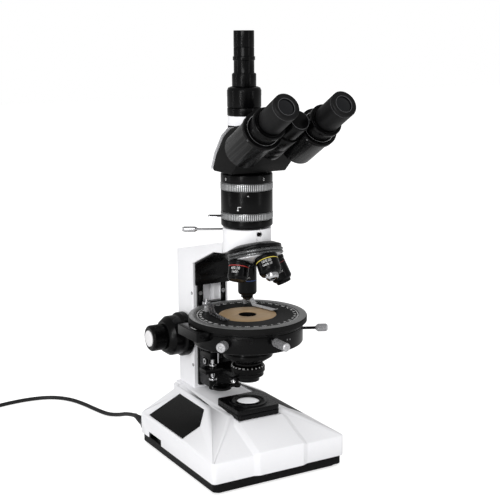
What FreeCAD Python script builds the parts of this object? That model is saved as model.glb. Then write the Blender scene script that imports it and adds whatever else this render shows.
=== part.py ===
import FreeCAD, Part
import math
import os

V = FreeCAD.Vector
X = V(1, 0, 0)
Y = V(0, 1, 0)
Z = V(0, 0, 1)

# Polarizing microscope, millimetres. X runs to the instrument's right and the user sits at -Y. Every
# size below is measured from the optical axis and from a level just above the bench, and save() moves
# the pieces by these amounts, so that the origin lies on the bench under the middle of the instrument.
optical_axis_y = 4.87
bench_drop = 2.4

# Clearances
gap = 0.3
slip = 0.05

# Base
base_half = 83.2
base_front = -71.0
base_rear = 113.7
cover_bottom = 11.0
eave_z = 34.1
roof_slope = 0.5
front_slope = 0.431
base_corner = 5.0
base_wall = 4.0
spine_half = 27.5
spine_foot_half = 34.0
spine_proud = 2.6
spine_nose_z = 37.0
spine_break_y = -28.0
spine_break_z = 56.5
spine_flat_y = 30.0
spine_z = 61.5
plinth_half = 32.0
plinth_rear = 128.4
plinth_z = 58.7
arm_boss_front = 80.0
plate_inset = 2.2
plate_bottom = 1.0
plate_floor = 3.0
plate_rim = 3.0
skid_inset = 5.0
skid_width = 12.0
post_r = 5.0
base_screw_r = 1.5
base_screw_head_r = 3.0
base_screw_length = 18.0
post_inset_x = 40.0
post_front_y = -46.0
post_rear_y = 88.0
notch_front = 57.0
notch_rear = 90.0
notch_z = 18.0
notch_depth = 11.5
control_lip = 0.7
control_wall = 3.2
rocker_rise = 1.0
rocker_thick = 3.2
rocker_swing_room = 1.3
rocker_pin_r = 0.9
wheel_r = 12.0
wheel_pin_r = 1.5
panel_thick = 0.8
panel_proud = 0.3
panel_outline = [(79.4, 96.0), (39.8, 94.0), (40.2, 31.0), (58.2, 7.0), (79.4, 7.7)]

# Illuminator
lamp_half = 26.5
lamp_corner = 5.0
lamp_bottom = 56.0
lamp_top = 68.0
lamp_seam = 62.2
lamp_seam_width = 0.7
lamp_seam_depth = 1.0
lamp_collar_r = 21.5
lamp_collar_rise = 1.2
lamp_step_r = 17.0
field_lens_r = 12.5
field_lens_thick = 4.0
field_lens_rise = 1.0
led_r = 14.0
led_height = 12.0
led_fin_count = 5
led_fin_gap = 1.2
board_half = 28.0
board_front = 20.0
board_rear = 70.0
board_lift = 4.0
board_thick = 1.6
board_parts = [(-14.0, 34.0, 8.0, 14.0, 14.0), (8.0, 32.0, 5.0, 5.0, 16.0), (10.0, 54.0, 9.0, 8.0, 10.0)]

# Arm, limb and neck
arm_half = 23.2
arm_front = 88.0
arm_rear = 128.2
arm_rear_top = 130.1
arm_shoulder_z = 224.0
arm_corner = 3.0
limb_top_y = 17.5
limb_top_z = 250.0
haunch_z = 213.2
haunch_y = 36.2
haunch_top_z = 235.5
limb_end_z = 240.0
neck_r = 26.5
neck_top = 268.4
neck_bore = 12.0
mount_seat_rear = 14.0
channel_half = 14.5
channel_depth = 4.0
channel_top = 211.0
channel_bottom = 64.0
rack_slot_half = 5.5
rack_slot_depth = 13.0
rail_inner = 11.5
rail_outer = 18.5
rail_thick = 4.0
rail_top = 211.0
rail_bottom = 66.0
rail_flare = 3.0
rail_screw_r = 2.6
rail_screw_depth = 1.0
rail_screw_z = (76.0, 177.5)
cover_half = 22.3
cover_thick = 2.2
cover_low = 187.8
cover_screw_x = 18.5
cover_screw_z = 198.0
set_screw_r = 2.3
set_screw_z = 263.5

# Focus drive
focus_y = 107.0
focus_z = 125.3
coarse_shaft_r = 6.0
fine_shaft_r = 3.5
pinion_pitch_r = 8.0
pinion_teeth = 16
pinion_half = 4.5
pocket_half = 6.0
tooth_share = 0.40
tooth_angle = 20.0
flange_r = 25.7
flange_width = 11.5
coarse_r = 23.4
coarse_width = 12.0
coarse_nose_r = 18.5
coarse_nose = 7.0
fine_r = 15.0
fine_width = 17.4
cap_r = 9.6
cap_width = 1.6
knob_round = 1.5

# Stage and carriage
carriage_half = 18.0
carriage_front = 59.0
carriage_low = 70.0
carriage_top = 162.0
tongue_low = 84.0
tongue_top = 166.0
rack_low = 104.0
rack_high = 144.0
stage_r = 66.0
stage_z = 163.0
stage_top = 169.8
stage_rim_r = 57.0
stage_rim_rise = 0.4
insert_r = 32.0
insert_depth = 3.0
stage_hole_r = 10.0
drum_r = 61.5
drum_bottom = 140.0
drum_wall = 6.0
drum_web = 5.0
spindle_r = 24.0
spindle_bottom = 149.0
spindle_bore = 18.0
hub_neck_r = 26.5
hub_flange_r = 28.0
hub_flange_z = 127.6
hub_flange_low = 123.0
hub_low_r = 17.8
hub_low = 116.0
hub_bore = 16.0
vernier_x = -74.0
vernier_front = -20.0
vernier_rear = 25.0
vernier_low = 152.0
screw_depth = 9.0
lock_angle = -26.1
lock_z = 152.0
lock_rod_r = 1.6
lock_rod = 14.5
lock_knob_r = 4.25
lock_knob = 13.0
front_screw_x = -4.0
front_screw_z = 154.0
centring_pin_r = 2.5
centring_pin = 4.5
centring_knob_r = 4.5
centring_knob = 24.0
left_screw_angle = 218.3
left_screw_z = 151.5
left_screw_r = 5.25
left_screw_pin = 4.0
left_screw_knob = 11.5

# Stage clips
clip_post_r = 2.4
clip_post_top = 184.0
clip_pin = 5.0
left_post = (-33.4, 34.3)
right_post = (21.0, 43.0)
left_clip_angle = 268.2
right_clip_angle = 283.9
clip_length = 50.5
clip_width = 7.0
clip_thick = 0.9
clip_high = 178.6
clip_bend_out = 9.4
clip_bend_in = 16.2
clip_collar_r = 4.4

# Condenser
core_r = 13.0
core_low = 93.7
barrel_r = 15.5
barrel_low = 112.6
barrel_top = stage_z - 4.0
condenser_bore = 9.0
condenser_lens_r = 11.0
condenser_lens_rise = 2.0
polarizer_r = 19.0
polarizer_low = 104.3
polarizer_top = 112.0
iris_r = 17.5
iris_low = 99.6
iris_top = 104.0
iris_lever = 14.0
iris_lever_r = 1.3
carrier_low = 94.0
carrier_top = 99.3
carrier_r = 16.5
carrier_tail_half = 12.0
carrier_ear_x = -34.0
carrier_ear_half = 8.0
carrier_pad_low = 84.0
carrier_pad_top = 108.0
carrier_pad_thick = 4.0
lift_x = -20.8
lift_y = 45.0
lift_knob_r = 4.65
lift_knob_low = 73.0
lift_knob_top = 85.0
lift_ring_r = 3.6
lift_spindle_r = 2.2
lift_spindle_top = 124.0
lift_nut_low = 110.0
lift_nut_top = 118.0
lift_nut_half = 6.5
filter_x = -22.8
filter_y = 20.0
filter_pivot = (-3.5, 19.0)
filter_pin_r = 2.0
filter_ring_r = 11.0
filter_glass_r = 9.0
filter_low = 81.2
filter_high = 84.2
filter_arm_half = 3.0

# Nosepiece: the turret axis leans forward and meets the optical axis at the apex
apex_z = 296.0
turret_tilt = 18.0
turret_r = 30.5
turret_top = 54.6
band_low = 61.2
seat_distance = 68.0
turret_core_r = 27.5
turret_pivot_r = 4.0
turret_pivot_past = 3.0
turret_cap_r = 29.5
turret_cap_flat_r = 21.5
turret_cap_top = 47.4
turret_cap_shoulder = 51.0
turret_face_r = 14.0
band_round = 0.7
thread_r = 9.0
thread_depth = 2.5
objective_bore = 7.0
tip_recess = 0.5
tip_share = 0.6
# Each objective: its place about the turret, and its outline as (radius, distance below its seat)
objectives = {
    "objective_40x": (0, [(11.6, 0.0), (11.6, 3.2), (10.4, 4.0), (10.4, 32.8), (9.2, 34.8), (6.9, 35.2),
                          (6.0, 39.0), (2.8, 42.1)]),
    "objective_60x": (90, [(11.6, 0.0), (11.6, 3.2), (11.0, 4.0), (11.0, 24.5), (9.4, 26.5), (8.6, 26.9),
                           (8.0, 29.7)]),
    "objective_10x": (180, [(12.8, 0.0), (12.8, 3.0), (12.2, 3.8), (12.2, 16.5), (10.6, 19.6), (7.6, 20.2),
                            (7.0, 24.0), (5.6, 25.9)]),
    "objective_4x": (270, [(11.8, 0.0), (11.8, 3.0), (11.0, 3.8), (11.0, 17.0), (10.0, 19.2), (9.4, 20.6)]),
}

# Analyser tube
tube_r = 28.2
tube_core_r = 24.0
tube_bore = 15.0
tube_base_top = neck_top + 10.1
analyser_top = tube_base_top + 7.6
bertrand_low = analyser_top + 24.1
bertrand_top = bertrand_low + 8.0
tube_top = bertrand_top + 10.3
tube_round = 3.0
lever_angle = 149.0
lever_end = 42.0
lever_half = 2.2
lever_thick = 2.6
slider_z = 265.5
slider_r = 1.3
slider_inner = 10.0
slider_knob_start = 54.0
slider_end = 71.0
slider_knob_r = 3.0

# Head
head_half = 33.5
head_bottom = tube_top + 1.5
head_spigot_r = 22.0
head_spigot = 6.0
head_axis_slope = 30.0
head_back = [(18.0, 333.5), (10.0, 349.5), (-6.4, 369.5), (-20.0, 378.0)]
head_top_z = 382.3
head_chin_y = -50.0
head_underside = [(-36.7, 340.2), (-25.6, 330.4), (12.0, 330.4)]
head_round = 5.0
riser_y = 4.0
riser_r = 18.0
riser_top = 388.9
riser_low = 345.0
hood_top = 419.7
hood_r = 18.4
hood_round = 4.0
hood_groove_z = 397.7
hood_groove = 1.0
photo_collar_r = 13.0
photo_collar_top = 434.5
photo_r = 11.0
photo_top = 478.5
photo_ring_r = 12.0
photo_ring_low = 447.4
photo_ring_top = 451.4
photo_bore_r = 9.5
photo_bore = 24.0

# Eyepiece barrels, stations measured back from the eye end along the tube
eye_y = -136.0
eye_z = 408.0
eye_x = 33.0
eyepiece_r = 13.9
eyepiece_length = 33.0
eyepiece_stem_r = 11.6
eyepiece_stem_end = 60.0
eye_lens_r = 10.0
eye_recess = 3.0
dioptre_start = 36.0
dioptre_end = 41.0
dioptre_r = 17.5
barrel_tube_r = 15.0
rim_start = 52.0
rim_end = 57.0
rim_r = 21.0
rim_recess_r = 17.0
rim_recess = 1.6
drum_radius = 19.5
drum_end = 101.0
hub_front = 58.0
hub_step = 79.0
hub_r = 13.0
hub_pin_r = 9.0
left_ring = (91.0, 100.7)
right_ring = (79.3, 90.7)
web_half = 5.0

# Power cord: points of its centre line, chosen by hand, from the gland to the coil
cord_r = 2.5
gland_x = -73.5
gland_z = 17.5
gland_r = 6.0
gland_flange_r = 8.0
gland_out = 135.0
gland_end = 150.0
cord_route = [
    (-73.5, 150.0, 17.5),
    (-74.3, 171.0, 13.5),
    (-77.0, 194.0, 5.0),
    (-83.0, 216.0, 0.2),
    (-89.5, 242.0, 0.2),
    (-95.0, 270.0, 0.2),
    (-104.0, 296.0, 0.2),
    (-122.0, 316.0, 0.2),
    (-150.0, 323.0, 0.2),
    (-180.0, 321.5, 0.2),
    (-210.0, 315.0, 0.2),
    (-239.0, 306.5, 0.2),
    (-267.0, 296.0, 0.2),
]
coil_x = -254.4
coil_y = 262.3
coil_outer = 38.9
coil_inner = 17.8
coil_turn_r = 36.0
coil_height = 10.4
tail_angle = 200.0
tail_length = 34.0
plug_length = 38.0
plug_half = 11.0
plug_height = 14.0
plug_pin_r = 2.3
plug_pin_pitch = 14.4
plug_pin = 18.0


def cylinder(r, length, at, axis=Z):
    return Part.makeCylinder(r, length, at, axis)


def tube(outer, inner, length, at, axis=Z):
    return cylinder(outer, length, at, axis).cut(cylinder(inner, length, at, axis))


def block(x0, x1, y0, y1, z0, z1):
    return Part.makeBox(x1 - x0, y1 - y0, z1 - z0, V(x0, y0, z0))


def prism(points, along):
    return Part.Face(Part.makePolygon(points + points[:1])).extrude(along)


def turned(profile, at, axis=Z):
    """Turn a closed outline of (radius, distance along the axis) points about the axis."""
    outline = [V(r, 0, s) for r, s in profile]
    solid = Part.Face(Part.makePolygon(outline + outline[:1])).revolve(V(), Z, 360)
    if solid.Volume < 0:
        solid.reverse()
    solid.Placement = FreeCAD.Placement(at, FreeCAD.Rotation(Z, axis))
    return solid


def joined(first, *others):
    return first.fuse(list(others)).removeSplitter()


def is_upright(edge):
    return abs(edge.tangentAt(edge.FirstParameter).z) > 0.99


def pillar(x0, x1, y0, y1, z0, z1, corner):
    """A block with its upright edges rounded."""
    body = block(x0, x1, y0, y1, z0, z1)
    return body.makeFillet(corner, [e for e in body.Edges if is_upright(e)])


def lens(r, thick, rise, top):
    """A flat-backed lens on the optical axis, its edge at top and its dome that much higher."""
    sphere_r = (r ** 2 + rise ** 2) / (2 * rise)
    dome = Part.makeSphere(sphere_r, V(0, 0, top + rise - sphere_r))
    return cylinder(r, thick + rise, V(0, 0, top - thick)).common(dome)


def sideways(points, half):
    """Extrude a (y, z) outline across the instrument, from -half to half."""
    return prism([V(-half, y, z) for y, z in points], V(2 * half, 0, 0))


def save(name, *solids):
    piece = Part.makeCompound(list(solids)) if len(solids) > 1 else solids[0].copy()
    piece.translate(V(0, optical_axis_y, bench_drop))
    piece.exportStep(f"parts/{name}.step")


# Base. The outer form is worked out for any inset, so that the cavity follows it at the wall thickness.
def spine_section(x, proud, inset):
    drop = inset * math.hypot(1, front_slope)
    front = base_front - proud + inset
    low = eave_z + (spine_nose_z - eave_z) * proud / spine_proud
    rise = (spine_break_z - spine_proud * 1.5) + proud * 1.5
    top = (spine_z - spine_proud) + proud
    rear = base_rear - inset
    outline = [
        (front, cover_bottom - inset),
        (front, low - drop + inset * front_slope),
        (spine_break_y, rise - drop),
        (spine_flat_y, top - inset),
        (rear, top - inset),
        (rear, cover_bottom - inset),
    ]
    points = [V(x, y, z) for y, z in outline]
    return Part.makePolygon(points + points[:1])


def base_form(inset):
    half = base_half - inset
    front = base_front + inset
    rear = base_rear - inset
    low = cover_bottom - inset
    high = spine_z
    eave_drop = inset * (math.hypot(1, roof_slope) - roof_slope)
    nose_drop = inset * (math.hypot(1, front_slope) - front_slope)
    plan = pillar(-half, half, front, rear, low, high, base_corner - 0.5 * inset)
    side_z = eave_z - eave_drop
    crest_half = spine_foot_half - 2
    crest_z = side_z + roof_slope * (half - crest_half)
    gable = [(-half, low), (half, low), (half, side_z), (crest_half, crest_z), (-crest_half, crest_z), (-half, side_z)]
    gable = prism([V(x, front, z) for x, z in gable], V(0, rear - front, 0))
    nose_z = eave_z - nose_drop
    nose = [(front, low), (rear, low), (rear, high), (front + (high - nose_z) / front_slope, high), (front, nose_z)]
    wings = plan.common(gable).common(sideways(nose, half))
    foot = spine_foot_half - inset
    top = spine_half - inset
    stations = [(-foot, 0), (-top, spine_proud), (top, spine_proud), (foot, 0)]
    spine = Part.makeLoft([spine_section(x, proud, inset) for x, proud in stations], True, True)
    return wings.fuse(spine)


def post_places():
    x = base_half - post_inset_x
    return [V(side * x, y, 0) for side in (-1, 1) for y in (post_front_y, post_rear_y)]


def roof_slab(side, low, high):
    """The layer between two depths under the sloping roof of one wing, measured upright."""
    crest_z = eave_z + roof_slope * (base_half - spine_foot_half)
    edges = [(base_half, eave_z + low), (base_half, eave_z + high)]
    edges += [(spine_foot_half, crest_z + high), (spine_foot_half, crest_z + low)]
    return prism([V(side * x, base_front, z) for x, z in edges], V(0, base_rear - base_front, 0))


def panel(side, spread, low, high):
    outline = [V(side * x, y, 0) for x, y in panel_outline]
    face = Part.Face(Part.makePolygon(outline + outline[:1]))
    if spread:
        face = face.makeOffset2D(spread)
    return face.extrude(V(0, 0, 3 * eave_z)).common(roof_slab(side, low, high))


def make_base():
    outer = base_form(0)
    plinth = pillar(-plinth_half, plinth_half, arm_boss_front, plinth_rear, cover_bottom, plinth_z, arm_corner)
    spine_tail = block(-spine_half, spine_half, arm_boss_front, plinth_rear, cover_bottom, spine_z)
    outer = outer.fuse([plinth, spine_tail])
    boss = block(-spine_foot_half, spine_foot_half, arm_boss_front, plinth_rear, 0, spine_z)
    cavity = base_form(base_wall).cut(boss)
    posts = [cylinder(post_r, eave_z, p + V(0, 0, plate_bottom + plate_floor)) for p in post_places()]
    cover = outer.cut(cavity).fuse([p.common(base_form(base_wall / 2)) for p in posts])
    pilot = [cylinder(base_screw_r, base_screw_length, p + V(0, 0, plate_bottom)) for p in post_places()]
    low_half = base_half + gap
    notch = block(-low_half, low_half, notch_front, notch_rear, cover_bottom, notch_z)
    notch = notch.cut(block(-base_half + notch_depth, base_half - notch_depth, notch_front, notch_rear, 0, eave_z))
    lamp_hole = cylinder(led_r + gap, lamp_top, V())
    lamp_seat = pillar(-lamp_half - slip, lamp_half + slip, -lamp_half - slip, lamp_half + slip, lamp_bottom, lamp_top,
                       lamp_corner)
    gland_hole = cylinder(gland_r, base_wall * 2, V(gland_x, base_rear - base_wall * 1.5, gland_z), Y)
    recess = [panel(side, slip, -panel_thick, panel_thick) for side in (-1, 1)]
    cover = cover.cut([notch, lamp_hole, lamp_seat, gland_hole] + pilot + recess).removeSplitter()
    save("base_cover", cover)
    save("inlay_panels", *[panel(side, 0, -panel_thick, panel_proud) for side in (-1, 1)])
    make_base_plate()
    make_controls()


def make_base_plate():
    half = base_half - plate_inset
    front = base_front + plate_inset
    rear = base_rear - plate_inset
    floor_z = plate_bottom + plate_floor
    plate = pillar(-half, half, front, rear, plate_bottom, cover_bottom, base_corner)
    well = pillar(-half + plate_rim, half - plate_rim, front + plate_rim, arm_boss_front - gap, floor_z, cover_bottom,
                  plate_rim)
    side_wells = [
        pillar(-half + plate_rim, -plinth_half - plate_rim, 0, rear - plate_rim, floor_z, cover_bottom, plate_rim),
        pillar(plinth_half + plate_rim, half - plate_rim, 0, rear - plate_rim, floor_z, cover_bottom, plate_rim),
    ]
    cuts = [well] + side_wells
    screws = []
    for place in post_places():
        head = cylinder(base_screw_head_r, base_screw_head_r, place + V(0, 0, plate_bottom))
        shank = cylinder(base_screw_r, base_screw_length - plate_bottom, place + V(0, 0, plate_bottom))
        screws.append(head.fuse(shank).removeSplitter())
        cuts.append(head)
        cuts.append(shank)
        cuts.append(cylinder(post_r + gap, cover_bottom, place + V(0, 0, floor_z)))
    save("base_plate", plate.cut(cuts).removeSplitter())
    save("base_screws", *screws)
    outer, inner = [pillar(-half + inset, half - inset, front + inset, rear - inset, -bench_drop, plate_bottom,
                           base_corner) for inset in (skid_inset, skid_inset + skid_width)]
    save("rubber_skid", outer.cut(inner))
    board_z = floor_z + board_lift
    board = block(-board_half, board_half, board_front, board_rear, board_z, board_z + board_thick)
    stands = [cylinder(2.5, board_lift, V(x, y, floor_z)) for x in (4 - board_half, board_half - 4)
              for y in (board_front + 4, board_rear - 4)]
    parts = [block(x, x + wide, y, y + deep, board_z, board_z + tall) for x, y, wide, deep, tall in board_parts]
    save("driver_board", joined(board, *stands, *parts))


def make_controls():
    """The rocker switch in the left notch and the brightness wheel in the right one."""
    low = cover_bottom
    inner_low = low + control_lip
    inner_high = notch_z - control_lip
    outer = base_half - control_lip
    front = notch_front + gap
    rear = notch_rear - gap
    middle = (front + rear) / 2
    floor_x = outer - rocker_rise - rocker_thick - rocker_swing_room
    switch = block(-outer, -base_half + notch_depth - gap, front, rear, low, notch_z - gap)
    switch = switch.cut(block(-outer, -floor_x, front + control_wall, rear - control_wall, inner_low, inner_high))
    reach = middle - front - control_wall - gap
    face = outer
    crest = face - rocker_rise
    outline = [(crest, -reach), (crest - rocker_rise, 0), (crest, reach), (crest - rocker_thick, reach),
               (crest - rocker_thick, -reach)]
    rocker = prism([V(-x, middle + y, inner_low + gap) for x, y in outline], V(0, 0, inner_high - inner_low - 2 * gap))
    pin_at = V((rocker_rise + rocker_thick) / 2 - crest, middle, low + gap)
    pin_length = notch_z - low - 3 * gap
    rocker = joined(rocker, cylinder(rocker_pin_r, pin_length, pin_at))
    switch = switch.cut(cylinder(rocker_pin_r + slip, pin_length + 2 * gap, pin_at - V(0, 0, gap)))
    axle = V(outer - wheel_r + control_lip / 2, middle, 0)
    dimmer = block(axle.x - wheel_r - control_wall, outer, front, rear, low, notch_z - gap)
    dimmer = dimmer.cut(cylinder(wheel_r + gap, inner_high - inner_low, axle + V(0, 0, inner_low)))
    pin = cylinder(wheel_pin_r, inner_high - inner_low, axle + V(0, 0, inner_low))
    wheel = tube(wheel_r, wheel_pin_r + slip, inner_high - inner_low - 2 * gap, axle + V(0, 0, inner_low + gap))
    save("control_housings", switch, dimmer.fuse(pin).removeSplitter())
    save("power_switch", rocker)
    save("brightness_wheel", wheel)


def make_illuminator():
    body = pillar(-lamp_half, lamp_half, -lamp_half, lamp_half, lamp_bottom, lamp_top, lamp_corner)
    seam_half = lamp_half - lamp_seam_depth
    seam = block(-lamp_half, lamp_half, -lamp_half, lamp_half, lamp_seam, lamp_seam + lamp_seam_width)
    seam = seam.cut(pillar(-seam_half, seam_half, -seam_half, seam_half, lamp_seam, lamp_top, lamp_corner))
    collar = cylinder(lamp_collar_r, lamp_collar_rise, V(0, 0, lamp_top))
    step = cylinder(lamp_step_r, lamp_collar_rise / 2, V(0, 0, lamp_top + lamp_collar_rise / 2))
    lens_seat = lamp_top - field_lens_thick
    bore = cylinder(field_lens_r, lamp_top, V(0, 0, lens_seat))
    light = cylinder(field_lens_r - 2, lamp_top, V(0, 0, lamp_bottom))
    save("lamp_housing", joined(body, collar).cut([seam, step, bore, light]))
    save("field_lens", lens(field_lens_r, field_lens_thick, field_lens_rise, lamp_top))
    sink = cylinder(led_r, led_height, V(0, 0, lamp_bottom - led_height))
    pitch = 2 * led_r / (led_fin_count + 1)
    slots = [block(x - led_fin_gap, x + led_fin_gap, -led_r, led_r, 0, lamp_bottom - led_height / 2)
             for x in [(i + 1) * pitch - led_r for i in range(led_fin_count)]]
    save("led_module", sink.cut(slots))


turret_down = V(0, -math.sin(math.radians(turret_tilt)), -math.cos(math.radians(turret_tilt)))


def turret_point(t):
    """The point on the turret's axis at distance t below the apex."""
    return V(0, 0, apex_z) + turret_down * t


# Arm: column, haunched limb and neck in one casting, with the dovetail guide on its front.
def make_arm():
    outline = [
        (arm_front, spine_z),
        (arm_front, haunch_z),
        (haunch_y, haunch_top_z),
        (0, limb_end_z),
        (0, limb_top_z + (limb_top_y - 0) * (limb_top_z - arm_shoulder_z) / (arm_rear_top - limb_top_y)),
        (arm_rear_top, arm_shoulder_z),
        (arm_rear, spine_z),
    ]
    body = sideways(outline, arm_half)
    rear = [e for e in body.Edges if is_upright(e) and e.CenterOfMass.y > arm_front + 1]
    body = body.makeFillet(arm_corner, rear)
    neck = cylinder(neck_r, neck_top - limb_end_z, V(0, 0, limb_end_z))
    body = joined(body, neck)
    bore = cylinder(neck_bore, neck_top, V(0, 0, 1))
    channel = block(-channel_half, channel_half, arm_front, arm_front + channel_depth, channel_bottom, channel_top)
    slot = block(-rack_slot_half, rack_slot_half, arm_front, arm_front + rack_slot_depth, tongue_low - 2 * gap,
                 channel_top)
    axle = cylinder(coarse_shaft_r + slip, 2 * arm_half, V(-arm_half, focus_y, focus_z), X)
    pocket_r = pinion_pitch_r + math.pi * pinion_pitch_r / pinion_teeth
    pocket = cylinder(pocket_r, 2 * pocket_half, V(-pocket_half, focus_y, focus_z), X)
    outward = radial(lever_angle)
    slider_hole = cylinder(slider_r + slip, neck_r - slider_inner, outward * slider_inner + V(0, 0, slider_z), outward)
    set_hole = cylinder(set_screw_r, neck_r, V(0, 0, set_screw_z), -Y)
    mount_seat = cylinder(neck_r + turret_cap_r, seat_distance, turret_point(turret_cap_shoulder), turret_down)
    reach = block(-neck_r - turret_cap_r, neck_r + turret_cap_r, -neck_r - turret_cap_r, mount_seat_rear, 0, neck_top)
    body = body.cut([bore, channel, slot, axle, pocket, slider_hole, set_hole, mount_seat.common(reach)])
    body = body.removeSplitter()
    save("arm", body)
    return body


def make_guides():
    front = arm_front - rail_thick
    flared = rail_inner + rail_flare
    outline = [(rail_inner, front), (rail_outer, front), (rail_outer, arm_front), (flared, arm_front)]
    rails = []
    screws = []
    for side in (-1, 1):
        rail = prism([V(side * x, y, rail_bottom) for x, y in outline], V(0, 0, rail_top - rail_bottom))
        heads = [cylinder(rail_screw_r, rail_screw_depth, V(side * (rail_inner + rail_outer) / 2, front, z), Y)
                 for z in rail_screw_z]
        rails.append(rail.cut(heads))
        screws += heads
    for side in (-1, 1):
        screws.append(cylinder(rail_screw_r, cover_thick / 2,
                               V(side * cover_screw_x, front - cover_thick, cover_screw_z), Y))
    back = front - cover_thick
    rise = (haunch_top_z - haunch_z) / (arm_front - haunch_y)
    top_back = haunch_z + rise * (arm_front - front)
    top_front = haunch_z + rise * (arm_front - back)
    drop = cover_thick * math.hypot(1, rise)
    outline = [
        (front, cover_low),
        (front, top_back),
        (haunch_y, haunch_top_z),
        (haunch_y, haunch_top_z - drop),
        (back, top_front - drop),
        (back, cover_low),
    ]
    cover = sideways(outline, cover_half)
    save("guide_rails", *rails)
    save("guide_cover", cover.cut(screws))
    save("arm_screws", *screws, cylinder(set_screw_r, 6, V(0, 0.5 - neck_r, set_screw_z), Y).cut(
        cylinder(set_screw_r / 2, 2, V(0, 0.5 - neck_r, set_screw_z), Y)))


# Focus drive: a rack on the carriage, a pinion on the hollow coarse shaft, the fine shaft inside it.
def tooth(root, tip, half_at_pitch, pitch, width):
    """A trapezoid tooth along +X with its flanks at the pressure angle, centred on the line y = 0."""
    lean = math.tan(math.radians(tooth_angle))
    root_half = half_at_pitch + lean * (pitch - root)
    tip_half = half_at_pitch - lean * (tip - pitch)
    points = [V(root, -root_half, 0), V(tip, -tip_half, 0), V(tip, tip_half, 0), V(root, root_half, 0)]
    return prism([p - V(0, 0, width / 2) for p in points], V(0, 0, width))


def make_focus():
    module = 2 * pinion_pitch_r / pinion_teeth
    root_r = pinion_pitch_r - 1.25 * module
    tip_r = pinion_pitch_r + module
    half = tooth_share * math.pi * module / 2
    centre = V(0, focus_y, focus_z)
    wheel = cylinder(root_r, 2 * pinion_half, V(0, 0, -pinion_half))
    teeth = []
    for i in range(pinion_teeth):
        piece = tooth(root_r - 0.5 * module, tip_r, half, pinion_pitch_r, 2 * pinion_half)
        piece.rotate(V(), Z, 180 + i * 360 / pinion_teeth)
        teeth.append(piece)
    pinion = wheel.fuse(teeth).removeSplitter()
    # From the XY plane of the gear to the YZ plane of the instrument: gear -x meets the rack at -Y
    pinion.Placement = FreeCAD.Placement(centre, FreeCAD.Rotation(Y, Z, X))
    shaft_half = arm_half + gap + flange_width + coarse_width
    shaft = cylinder(coarse_shaft_r, 2 * shaft_half, V(-shaft_half, focus_y, focus_z), X)
    bore = cylinder(fine_shaft_r + slip, 2 * shaft_half, V(-shaft_half, focus_y, focus_z), X)
    save("coarse_shaft", joined(shaft, pinion).cut(bore))
    flange_end = gap + flange_width
    body_end = flange_end + coarse_width
    nose_end = body_end + coarse_nose
    fine_start = nose_end + gap
    fine_end = fine_start + fine_width
    coarse = [
        (coarse_shaft_r, gap), (flange_r - knob_round, gap), (flange_r, gap + knob_round),
        (flange_r, flange_end - knob_round), (flange_r - knob_round, flange_end), (coarse_r, flange_end),
        (coarse_r, body_end), (coarse_nose_r, nose_end), (fine_shaft_r + slip, nose_end),
        (fine_shaft_r + slip, body_end), (coarse_shaft_r, body_end),
    ]
    fine = [
        (fine_shaft_r, fine_start), (fine_r, fine_start), (fine_r, fine_end - knob_round),
        (fine_r - knob_round, fine_end), (cap_r, fine_end), (cap_r, fine_end - cap_width), (fine_shaft_r, fine_end - cap_width),
    ]
    cap = [(0, fine_end - cap_width), (cap_r, fine_end - cap_width), (cap_r, fine_end + cap_width / 2),
           (cap_r - cap_width / 2, fine_end + cap_width), (0, fine_end + cap_width)]
    sides = [(V(side * arm_half, focus_y, focus_z), X * side) for side in (-1, 1)]
    save("coarse_knobs", *[turned(coarse, at, axis) for at, axis in sides])
    save("fine_knobs", *[turned(outline, at, axis) for outline in (fine, cap) for at, axis in sides])
    fine_half = arm_half + fine_end - cap_width
    save("fine_shaft", cylinder(fine_shaft_r, 2 * fine_half, V(-fine_half, focus_y, focus_z), X))
    pitch = math.pi * module
    rack_y = focus_y - pinion_pitch_r
    root_y = rack_y - 1.25 * module
    back_y = arm_front + channel_depth - gap
    rack = block(gap - rack_slot_half, rack_slot_half - gap, back_y, root_y, rack_low, rack_high)
    count = int((rack_high - rack_low - pitch) / pitch)
    rack_teeth = []
    for i in range(-(count // 2), count // 2 + 1):
        piece = tooth(-1.25 * module - 0.5, module, half, 0, 2 * (rack_slot_half - gap))
        piece.Placement = FreeCAD.Placement(V(0, rack_y, focus_z + (i + 0.5) * pitch), FreeCAD.Rotation(Y, Z, X))
        if piece.BoundBox.ZMax < rack_high and piece.BoundBox.ZMin > rack_low:
            rack_teeth.append(piece)
    save("carriage_rack", joined(rack, *rack_teeth))


# Stage: carriage and drum slide on the arm, the disc turns in the drum.
def radial(angle):
    return V(math.cos(math.radians(angle)), math.sin(math.radians(angle)), 0)


def make_carriage():
    back = arm_front - rail_thick - gap
    body = block(-carriage_half, carriage_half, carriage_front, back, carriage_low, carriage_top)
    body = body.makeFillet(2.0, [e for e in body.Edges if is_upright(e) and e.CenterOfMass.y < back - 1])
    # The tongue widens behind the rails and so can't be pulled off them
    narrow = rail_inner - gap
    wide = rail_inner + rail_flare - gap
    end = arm_front + channel_depth - gap
    outline = [(narrow, back), (wide, arm_front - gap), (wide, end)]
    outline += [(-x, y) for x, y in reversed(outline)]
    tongue = prism([V(x, y, tongue_low) for x, y in outline], V(0, 0, tongue_top - tongue_low))
    nut = block(lift_x - lift_nut_half, lift_x + lift_nut_half + 2, lift_y - lift_nut_half, carriage_front + 4,
                lift_nut_low, lift_nut_top)
    thread = cylinder(lift_spindle_r + slip, lift_nut_top, V(lift_x, lift_y, lift_nut_low))
    drum = cylinder(drum_r, stage_z, V(0, 0, drum_bottom))
    body = joined(body, tongue, nut).cut([thread, drum])
    save("carriage_block", body)


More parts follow.
